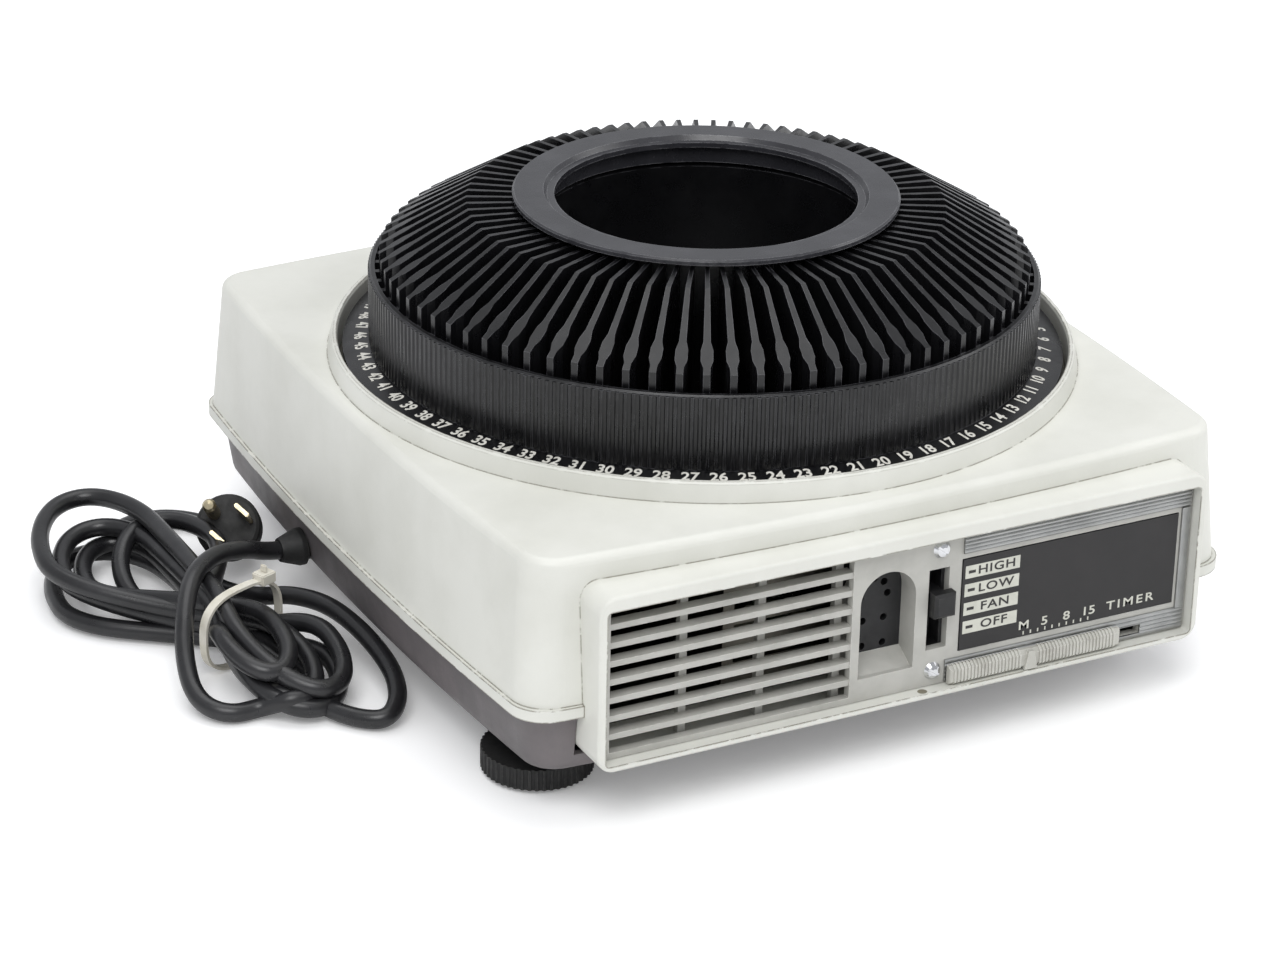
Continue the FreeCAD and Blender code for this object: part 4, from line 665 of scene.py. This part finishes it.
    def build(self) -> None:
        """Set up camera, lights, surroundings and floor."""
        self.place_camera()
        self.light()
        self.set_world()
        self.lay_floor()
        bpy.context.scene.view_settings.view_transform = "Standard"


# ------------------------------------------------------------------ mains cord
@dataclass(frozen=True)
class Oval:
    """Centre line of one side of a figure-eight turn, seen from above.

    Args:
        x: Middle, in millimetres.
        y: Middle, in millimetres.
        across: Half its width.
        along: Half its length.
        lean_deg: How far its long axis leans from Y.
        lift: Heights where it starts, at its far tip and where it ends.
    """

    x: float
    y: float
    across: float
    along: float
    lean_deg: float
    lift: tuple[float, float, float]

    def points(self, degrees: Sequence[float]) -> list[Point]:
        """Points of the oval, rising and falling between its heights.

        Args:
            degrees: Angles round the oval, in the order that the cord takes them.

        Returns:
            The points, in millimetres.
        """
        lean = math.radians(self.lean_deg)
        made = []
        for i, degree in enumerate(degrees):
            share = 2.0 * i / (len(degrees) - 1)
            first, tip, last = self.lift
            height = first + (tip - first) * share if share <= 1.0 else tip + (last - tip) * (share - 1.0)
            u = self.across * math.cos(math.radians(degree))
            v = self.along * math.sin(math.radians(degree))
            made.append((self.x + u * math.cos(lean) - v * math.sin(lean),
                         self.y + u * math.sin(lean) + v * math.cos(lean), height))
        return made


@dataclass(frozen=True)
class Turn:
    """One figure-eight turn of the hank: near oval, crossing, far oval, crossing back.

    Args:
        near: The oval beside the operator.
        down: Two heights of the crossing under the others.
        far: The oval away from the operator.
        over: Two heights of the crossing on its way back.
    """

    near: Oval
    down: tuple[float, float]
    far: Oval
    over: tuple[float, float]


@dataclass
class Plug:
    """Grounded plug in its own frame, axis along Z from the cord's end to the prongs, in millimetres.

    Args:
        paint: Where materials come from.
        at: The plug's middle.
        middle: Height of that middle along the axis.
        tail: Height where the cord enters.
        face: Height of the face that the prongs stand on.
        grip_r: Radius of the grip.
        turns_deg: Turn about its own axis, tilt and turn about the vertical.
        blade_x: Distance of each blade from the axis.
        blade_half: Half the thickness of a blade.
        blade_y: Where a blade's breadth begins and ends.
        prong_reach: How far the blades stand out of the face.
        pin_r: Radius of the earth pin.
        pin_y: Where the earth pin stands.
    """

    paint: Paint
    at: Point = (-143.5, 77.5, 16.5)
    middle: float = 19.5
    tail: float = 4.0
    face: float = 28.0
    grip_r: float = 11.5
    turns_deg: Point = (140.0, 55.0, 62.0)
    blade_x: float = 6.35
    blade_half: float = 0.75
    blade_y: tuple[float, float] = (-0.3, 6.0)
    prong_reach: float = 15.5
    pin_r: float = 2.4
    pin_y: float = -6.5

    def matrix(self) -> Matrix:
        """From the plug's own frame, in metres, to the scene.

        Returns:
            The placing matrix.
        """
        roll, tilt, turn = (math.radians(v) for v in self.turns_deg)
        turned = Matrix.Rotation(turn, 4, "Z") @ Matrix.Rotation(-tilt, 4, "Y") @ Matrix.Rotation(roll, 4, "Z")
        return Matrix.Translation(Vector(self.at) * MM) @ turned @ Matrix.Translation((0.0, 0.0, -self.middle * MM))

    def point(self, height: float) -> Vector:
        """Point on the plug's axis, in metres."""
        return self.matrix() @ Vector((0.0, 0.0, height * MM))

    def mould(self, shape: bmesh.types.BMesh) -> None:
        """Rubber body: ribbed tail, waist for the fingers, wide grip and flat face.

        Args:
            shape: The bmesh that takes it.
        """
        profile = [(0.0, self.tail), (4.3, self.tail)]
        for rib in range(3):
            height = self.tail + 1.2 + 2.2 * rib
            profile += [(4.5, height), (5.2, height + 0.4), (5.2, height + 1.2), (4.5, height + 1.6)]
        profile += [(5.4, 12.0), (8.2, 14.4), (self.grip_r - 0.8, 17.0), (self.grip_r, 19.0),
                    (self.grip_r, self.face - 1.4), (self.grip_r - 0.5, self.face - 0.5),
                    (self.grip_r - 1.5, self.face), (0.0, self.face)]
        add_lathe(shape, [(r * MM, z * MM) for r, z in profile], 40, self.matrix())

    def stamp_prongs(self, shape: bmesh.types.BMesh) -> None:
        """Two flat blades and a round earth pin with a rounded tip.

        Args:
            shape: The bmesh that takes them.
        """
        root, tip = self.face - 0.5, self.face + self.prong_reach
        for x in (-self.blade_x, self.blade_x):
            low = (x - self.blade_half, self.blade_y[0], root)
            high = (x + self.blade_half, self.blade_y[1], tip)
            add_bevelled_box(shape, low, high, 0.3, self.matrix())
        pin = [(0.0, root), (self.pin_r, root), (self.pin_r, tip + 0.5), (self.pin_r - 0.7, tip + 2.0),
               (0.0, tip + 2.6)]
        add_lathe(shape, [(r * MM, z * MM) for r, z in pin], 20,
                  self.matrix() @ Matrix.Translation((0.0, self.pin_y * MM, 0.0)))

    def build(self) -> list[bpy.types.Object]:
        """Make body and prongs in place of the plain plug.

        Returns:
            The two pieces.
        """
        body = mesh_piece("plug_body", self.mould, self.paint.of(RUBBER_BLACK), "housing")
        prongs = mesh_piece("plug_prongs", self.stamp_prongs, self.paint.of(PRONG_NICKEL), "housing")
        for piece in (body, prongs):
            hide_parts("plug")
        return [body, prongs]


@dataclass
class CableTie:
    """Nylon tie drawn round the waist of the hank, with its square head on top, in millimetres.

    Args:
        paint: Where materials come from.
        at: Middle of the loop.
        turn_deg: Turn of the loop about the vertical.
        reach: Half width and half height of the loop.
        squareness: Power that rounds the loop, 1 for an ellipse and less for squarer corners.
        band: Breadth and thickness of the band.
        head_at: Where the head sits, as an angle round the loop.
        steps: Segments round the loop.
    """

    paint: Paint
    at: Point = (-166.0, 11.0, 14.4)
    turn_deg: float = 22.6
    reach: tuple[float, float] = (17.0, 13.2)
    squareness: float = 0.72
    band: tuple[float, float] = (3.2, 1.0)
    head_at: float = 58.0
    steps: int = 72

    def matrix(self) -> Matrix:
        """From the loop's own frame, in metres, to the scene."""
        return Matrix.Translation(Vector(self.at) * MM) @ Matrix.Rotation(math.radians(self.turn_deg), 4, "Z")

    def on_loop(self, angle_deg: float, out: float) -> tuple[float, float]:
        """Point of the rounded loop in its own plane.

        Args:
            angle_deg: Angle round the loop.
            out: Distance outside its inner face.

        Returns:
            The point's place across and up.
        """
        c, s = math.cos(math.radians(angle_deg)), math.sin(math.radians(angle_deg))
        x = math.copysign(abs(c) ** self.squareness, c) * (self.reach[0] + out)
        z = math.copysign(abs(s) ** self.squareness, s) * (self.reach[1] + out)
        return x, z

    def mould(self, shape: bmesh.types.BMesh) -> None:
        """Band, head and the short end that stands out of it.

        Args:
            shape: The bmesh that takes them.
        """
        matrix = self.matrix()
        breadth, thickness = self.band
        half = breadth / 2
        rings = []
        for i in range(self.steps):
            angle = 360.0 * i / self.steps
            inner, outer = self.on_loop(angle, 0.0), self.on_loop(angle, thickness)
            rings.append([shape.verts.new(matrix @ Vector((x * MM, y * MM, z * MM))) for (x, z), y in (
                (inner, -half), (outer, -half), (outer, half), (inner, half))])
        for ring, following in zip(rings, rings[1:] + rings[:1]):
            for i in range(4):
                j = (i + 1) % 4
                shape.faces.new((ring[i], ring[j], following[j], following[i]))
        x, z = self.on_loop(self.head_at, 0.6)
        head = ((x - 3.2, -2.8, z - 0.6), (x + 3.2, 2.8, z + 3.4))
        cut_end = ((x - 0.6, -1.4, z + 3.4), (x + 0.6, 1.4, z + 6.0))
        for low, high in (head, cut_end):
            add_bevelled_box(shape, low, high, 0.4, matrix)

    def build(self) -> list[bpy.types.Object]:
        """Make the tie in place of the plain one.

        Returns:
            The tie, as the only piece.
        """
        tie = mesh_piece("tie_band", self.mould, self.paint.of(TIE_NYLON), "housing")
        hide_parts("cable_tie")
        return [tie]


@dataclass
class MainsCord:
    """Three-core mains cord in a tied figure-eight hank, from the strain relief to the plug.

    Args:
        paint: Where materials come from.
        plug: The plug at its far end.
        diameter: Thickness of the jacket, in millimetres.
        length: Length of the whole cord, in metres; not used.
        near_degrees: Angles of the points round a near oval.
        far_degrees: Angles of the points round a far oval.
        crossing_down: Where a turn crosses from the near oval to the far one.
        crossing_over: Where it crosses back.
        lead: Points from the strain relief to the hank, in millimetres.
        turns: The hank's turns, in the order that the cord takes them.
        loop: Points of the free loop beside the machine.
        back: Points from the loop to the far end of the hank.
        tail: Points from there to the plug.
        entry: Straight length before the plug's tail.
    """

    paint: Paint
    plug: Plug
    diameter: float = 6.4
    length: float = 2.0
    near_degrees: tuple[float, ...] = (165, 208, 250, 292, 334, 14)
    far_degrees: tuple[float, ...] = (200, 160, 118, 76, 34, -8)
    crossing_down: tuple[tuple[float, float], ...] = ((-160, 14), (-178, 30))
    crossing_over: tuple[tuple[float, float], ...] = ((-172, 26), (-173, 12))
    lead: tuple[Point, ...] = (
        (-139, 43, 22.5), (-145, 42.5, 23.5), (-152, 40, 27), (-165, 35.5, 30), (-178, 24, 30), (-186.5, 10, 25),
        (-192.5, -4, 14), (-194, -18, 5.5), (-187, -29, 3.6), (-174, -28, 3.6))
    turns: tuple[Turn, ...] = (
        Turn(Oval(-166, -12, 13.5, 26, 4, (16, 7, 14)), (15, 12), Oval(-192, 73, 22, 42, -6, (18, 23, 24)), (25, 25)),
        Turn(Oval(-158, -10, 15.5, 30, 6, (20, 9, 17)), (11, 8), Oval(-190, 71, 18, 31, -6, (12, 16, 18)), (19, 19)),
        Turn(Oval(-160, -14, 16.5, 27, 0, (12, 4, 9)), (5, 4), Oval(-190, 66, 22, 39, -2, (4.5, 5, 8)), (12, 12)),
        Turn(Oval(-170, -9, 11.0, 20, 0, (22, 14, 20)), (18, 17), Oval(-185, 71, 15, 29, -6, (9, 9.5, 12)), (14, 13)),
        Turn(Oval(-165, -16, 10.0, 18, 10, (9, 7.5, 8)), (8, 4), Oval(-171, 63, 18, 28, -4, (8, 20, 21)), (20, 17)))
    loop: tuple[Point, ...] = (
        (-172, -2, 10), (-168, -16, 8), (-161, -28, 7), (-156, -39, 4.2), (-149.5, -49, 3.6), (-141.5, -55, 4.2),
        (-134, -48, 7), (-130, -33, 10.5), (-131.5, -12, 15), (-135.6, 8, 17), (-143.5, 22, 16), (-151, 29, 13.5))
    back: tuple[Point, ...] = ((-156, 44, 9), (-158, 62, 5.5), (-164, 84, 5), (-176, 100, 6))
    tail: tuple[Point, ...] = ((-181, 102, 9), (-168, 117, 7), (-150, 121, 4.4), (-137, 107, 3.8))
    entry: float = 7.0

    def route(self) -> list[Point]:
        """Control points from the strain relief to the plug's tail.

        Returns:
            The points, in metres.
        """
        points = list(self.lead)
        for number, turn in enumerate(self.turns):
            near = turn.near.points(self.near_degrees)
            points += near[2:] if number == 0 else near
            points += [(*at, height) for at, height in zip(self.crossing_down, turn.down)]
            points += turn.far.points(self.far_degrees)
            points += [(*at, height) for at, height in zip(self.crossing_over, turn.over)]
        points += [*self.loop, *self.back, *self.tail]
        ends = [self.plug.point(self.plug.tail - self.entry), self.plug.point(self.plug.tail)]
        return [tuple(value * MM for value in point) for point in points] + [tuple(end) for end in ends]

    def lay(self, pieces: Sequence[bpy.types.Object]) -> bpy.types.Object:
        """Args:
            pieces: The separate pieces on the cord; not used.

        Returns:
            The cord's curve.
        """
        curve = bpy.data.curves.new("mains_cord", "CURVE")
        curve.dimensions = "3D"
        curve.resolution_u = 8
        curve.bevel_depth = self.diameter / 2 * MM
        curve.bevel_resolution = 6
        curve.use_fill_caps = True
        points = self.route()
        spline = curve.splines.new("NURBS")
        spline.points.add(len(points) - 1)
        for place, point in zip(spline.points, points):
            place.co = (*point, 1.0)
        spline.order_u = 3
        spline.use_endpoint_u = True
        curve.materials.append(self.paint.of(CORD_VINYL))
        cord = bpy.data.objects.new("mains_cord", curve)
        bpy.context.scene.collection.objects.link(cord)
        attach(cord, "housing")
        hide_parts("power_cord", "cord_hank")
        LOG.info("mains cord: %d control points", len(points))
        return cord


# ------------------------------------------------------------------ rotary tray
@dataclass
class RotaryTray:
    """Stamped numbers and fine grip ribs of the slide tray, in millimetres.

    Args:
        paint: Where materials come from.
        axis_x: Where the tray's axis stands.
        slots: Numbered places, with 0.
        wall_r: Radius of the outer wall.
        wall_top: Height where the grip ribs end.
        ring_r: Radius of the number flange.
        ring_z: Height that the flange's slope is measured from.
        flange_rise: How far the flange's inner edge stands above that height.
        flange_fall: How far the flange falls outward.
        number_r: Radius of the numbers' middle.
        number_h: Height of a number.
        number_spread: Widening of the numbers.
        number_bold: Extra weight of their strokes, as a share of the height.
        ribs: Number of grip ribs.
        rib_share: Half a rib's width, as a share of their spacing.
        rib_root: Depth of a rib's root in the wall.
        rib_proud: How far a rib stands out.
    """

    paint: Paint
    axis_x: float = 2.0
    slots: int = 81
    wall_r: float = 114.3
    wall_top: float = 120.6
    ring_r: float = 123.7
    ring_z: float = 94.8
    flange_rise: float = 0.6
    flange_fall: float = 1.6
    number_r: float = 117.7
    number_h: float = 4.3
    number_spread: float = 0.95
    number_bold: float = 0.035
    ribs: int = 270
    rib_share: float = 0.34
    rib_root: float = 0.05
    rib_proud: float = 0.42

    def place(self, radius: float, angle_deg: float, height: float) -> Vector:
        """Point around the tray's axis, in metres."""
        a = math.radians(angle_deg)
        return Vector((self.axis_x + radius * math.cos(a), radius * math.sin(a), height)) * MM

    def number_height(self, radius: float) -> float:
        """Height of the sloping flange's upper face, in millimetres."""
        share = (radius - self.wall_r) / (self.ring_r - self.wall_r)
        return self.ring_z + self.flange_rise - self.flange_fall * share

    def number_matrix(self, number: int) -> Matrix:
        """Where a number stands: upright toward the hub, on the flange's slope.

        Args:
            number: The slot's number.

        Returns:
            The placing matrix.
        """
        angle = -360.0 * number / self.slots
        at = self.place(self.number_r, angle, self.number_height(self.number_r) + 0.04)
        slope = math.atan2(self.flange_fall, self.ring_r - self.wall_r)
        a = math.radians(angle)
        out = Vector((math.cos(a), math.sin(a), 0.0))
        rise = (-out * math.cos(slope) + Vector((0, 0, math.sin(slope)))).normalized()
        across = rise.cross(Vector((0, 0, 1))).normalized()
        normal = across.cross(rise)
        return Matrix.Translation(at) @ Matrix((across, rise, normal)).transposed().to_4x4()

    def stamp_numbers(self, shape: bmesh.types.BMesh) -> None:
        """All slot numbers, 0 to 80.

        Args:
            shape: The bmesh that takes them.
        """
        for number in range(self.slots):
            add_text(shape, str(number), self.number_h * MM, self.number_matrix(number), self.number_spread,
                     self.number_bold)

    def mould_ribs(self, shape: bmesh.types.BMesh) -> None:
        """Fine upright grip ribs all round the outer wall.

        Args:
            shape: The bmesh that takes them.
        """
        half = self.rib_share * 360.0 / self.ribs
        foot = self.ring_z + 1.1
        rise = Vector((0, 0, (self.wall_top - foot) * MM))
        section = ((-self.rib_root, -1.0), (self.rib_proud, -0.4), (self.rib_proud, 0.4), (-self.rib_root, 1.0))
        for i in range(self.ribs):
            angle = 360.0 * i / self.ribs
            low = [self.place(self.wall_r + out, angle + half * side, foot) for out, side in section]
            base = [shape.verts.new(p) for p in low]
            top = [shape.verts.new(p + rise) for p in low]
            for j in range(3):
                shape.faces.new((base[j], base[j + 1], top[j + 1], top[j]))
            shape.faces.new(top)
            shape.faces.new(list(reversed(base)))

    def build(self) -> None:
        """Add numbers and ribs, both turning with the tray."""
        mesh_piece("tray_numbers", self.stamp_numbers, self.paint.of(PRINT_WHITE), "tray")
        mesh_piece("tray_grip_ribs", self.mould_ribs, self.paint.of(TRAY_BLACK), "tray")


# ------------------------------------------------------------------ rear panel
class Ink(Enum):
    """The two inks of the rear panel."""

    DARK = "black on the pale strips"
    PALE = "pale grey on the black plate"


@dataclass(frozen=True)
class Label:
    """Words on the panel, in millimetres.

    Args:
        words: The characters.
        x: Middle.
        z: Middle.
        height: Height of a capital.
        spread: Widening of the letters.
        spacing: Distance between the letters, 1 for the usual.
    """

    words: str
    x: float
    z: float
    height: float
    spread: float = 1.0
    spacing: float = 1.0


@dataclass
class RearPanel:
    """Printed marks and the timer's grip ribs on the rear panel, in millimetres.

    Args:
        paint: Where materials come from.
        panel_y: The panel's face.
        plate_proud: How far the plate stands out of it.
        stroke_bold: Extra weight of all strokes, as a share of their height.
        strip_z: Words of the switch and the heights of their strips.
        strip_x: Ends of a strip.
        strip_half: Half the height of a strip.
        dash_x: Ends of the dash before a word.
        scale: Marks of the timer and where they stand.
        scale_z: Height of those marks.
        tick_z: Lower and upper end of a tick.
        ticks: Number of ticks.
        timer_front: Front of the timer's slider.
        slider_x: Ends of the slider.
        slider_z: Lower and upper edge of the slider.
        pointer_x: Middle of its pointer, which has no ribs.
        pointer_half: Half the breadth that the pointer leaves free.
        rib_pitch: Spacing of the ribs.
        rib_wide: Breadth of a rib.
        rib_out: How far a rib stands out.
    """

    paint: Paint
    panel_y: float = -143.5
    plate_proud: float = 0.3
    stroke_bold: float = 0.02
    strip_z: dict[str, float] = field(default_factory=lambda: {
        "HIGH": 63.2, "LOW": 56.7, "FAN": 50.0, "OFF": 43.4})
    strip_x: tuple[float, float] = (21.6, 42.2)
    strip_half: float = 2.25
    dash_x: tuple[float, float] = (22.8, 25.4)
    scale: dict[str, float] = field(default_factory=lambda: {"M": 45.2, "5": 53.2, "8": 61.7, "15": 70.2})
    scale_z: float = 39.3
    tick_z: tuple[float, float] = (36.0, 37.2)
    ticks: int = 10
    timer_front: float = -147.1
    slider_x: tuple[float, float] = (17.4, 79.6)
    slider_z: tuple[float, float] = (25.2, 31.6)
    pointer_x: float = 46.3
    pointer_half: float = 2.9
    rib_pitch: float = 1.3
    rib_wide: float = 0.65
    rib_out: float = 0.4

    def facing(self, x: float, z: float, out: float) -> Matrix:
        """Where something stands on the panel, facing the operator."""
        turn = Matrix(((1, 0, 0), (0, 0, -1), (0, 1, 0))).to_4x4()
        return Matrix.Translation(Vector((x, self.panel_y - out, z)) * MM) @ turn

    def labels(self, ink: Ink) -> list[Label]:
        """All the words in one ink.

        Args:
            ink: The ink wanted.

        Returns:
            Its labels, with their places.
        """
        if ink is Ink.DARK:
            return [Label(word, 33.4, z, 2.9, 1.32, 1.12) for word, z in self.strip_z.items()]
        scale = [Label(word, x, self.scale_z, 3.0, 1.3) for word, x in self.scale.items()]
        return scale + [Label("TIMER", 86.5, self.scale_z, 3.0, 1.3, 1.3)]

    def print_words(self, ink: Ink) -> Callable[[bmesh.types.BMesh], None]:
        """Give the printing of one ink.

        Args:
            ink: The ink wanted.

        Returns:
            A function that fills a bmesh with its words, and with the dashes of the dark ink.
        """
        def fill(shape: bmesh.types.BMesh) -> None:
            """Fill the bmesh with the words."""
            out = self.plate_proud + (0.09 if ink is Ink.DARK else 0.03)
            for label in self.labels(ink):
                add_text(shape, label.words, label.height * MM, self.facing(label.x, label.z, out), label.spread,
                         self.stroke_bold, label.spacing)
            if ink is Ink.DARK:
                for z in self.strip_z.values():
                    self.bar(shape, self.dash_x, (z - 0.5, z + 0.5), self.plate_proud + 0.12)
        return fill

    def bar(self, shape: bmesh.types.BMesh, across: tuple[float, float], up: tuple[float, float], out: float) -> None:
        """Thin printed bar on the plate.

        Args:
            shape: The bmesh that takes it.
            across: Its ends along X.
            up: Its lower and upper edge.
            out: How far its face stands out of the panel.
        """
        y = self.panel_y - out
        add_box(shape, [v * MM for v in (across[0], y, up[0])], [v * MM for v in (across[1], y + 0.06, up[1])])

    def print_strips(self, shape: bmesh.types.BMesh) -> None:
        """Pale label strips beside the switch."""
        for z in self.strip_z.values():
            self.bar(shape, self.strip_x, (z - self.strip_half, z + self.strip_half), self.plate_proud + 0.05)

    def print_ticks(self, shape: bmesh.types.BMesh) -> None:
        """Scale ticks above the timer.

        Args:
            shape: The bmesh that takes them.
        """
        first, last = self.scale["M"], self.scale["15"]
        for i in range(self.ticks):
            x = first + (last - first) * i / (self.ticks - 1)
            self.bar(shape, (x - 0.25, x + 0.25), self.tick_z, self.plate_proud + 0.05)

    def slider_ribs(self, shape: bmesh.types.BMesh) -> None:
        """Grip ribs across the timer's slider, left out at its pointer.

        Args:
            shape: The bmesh that takes them.
        """
        front, out = self.timer_front, self.rib_out
        bottom, top = self.slider_z
        chamfer = 1.2
        side = [(front + 2.3, bottom - out), (front + chamfer, bottom - out),
                (front - out, bottom + chamfer - out / 2), (front - out, top - chamfer + out / 2),
                (front + chamfer, top + out), (front + 2.3, top + out)]
        count = int((self.slider_x[1] - self.slider_x[0]) / self.rib_pitch)
        for i in range(count + 1):
            x = self.slider_x[0] + i * self.rib_pitch
            if abs(x - self.pointer_x) < self.pointer_half:
                continue
            low = [shape.verts.new(Vector((x, y, z)) * MM) for y, z in side]
            high = [shape.verts.new(Vector((x + self.rib_wide, y, z)) * MM) for y, z in side]
            shape.faces.new(low)
            shape.faces.new(list(reversed(high)))
            for a in range(len(side)):
                b = (a + 1) % len(side)
                shape.faces.new((low[a], low[b], high[b], high[a]))

    def build(self) -> None:
        """Print the marks and add the ribs."""
        mesh_piece("label_strips", self.print_strips, self.paint.of(PRINT_PALE), "housing")
        mesh_piece("label_words", self.print_words(Ink.DARK), self.paint.of(PRINT_DARK), "housing")
        mesh_piece("scale_words", self.print_words(Ink.PALE), self.paint.of(PRINT_PALE), "housing")
        mesh_piece("scale_ticks", self.print_ticks, self.paint.of(PRINT_PALE), "housing")
        mesh_piece("timer_grip_ribs", self.slider_ribs, self.paint.of(SLIDER_GREY), "timer")


# ------------------------------------------------------------------ everything together
@dataclass
class Projector:
    """The whole projector: finishes on the modelled pieces, and the added details.

    Args:
        paint: Where materials come from.
    """

    paint: Paint

    def dress(self) -> None:
        """Give each modelled piece its material."""
        for name, finish in NODE_FINISHES.items():
            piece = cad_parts.get(name)
            if piece is None:
                continue
            piece.data.materials.clear()
            piece.data.materials.append(self.paint.of(finish))
            LOG.info("finish %s on %s", finish.name, name)

    def build(self) -> None:
        """Add plug, tie and cord, dress the model, then add marks and ribs."""
        plug = Plug(self.paint)
        MainsCord(self.paint, plug).lay(plug.build() + CableTie(self.paint).build())
        self.dress()
        RotaryTray(self.paint).build()
        RearPanel(self.paint).build()


def main() -> None:
    """Build the scene in order."""
    logging.basicConfig(level=logging.INFO, format="%(name)s: %(message)s")
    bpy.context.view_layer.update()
    Studio().build()
    Projector(Paint()).build()


if __name__ == "__main__":
    main()
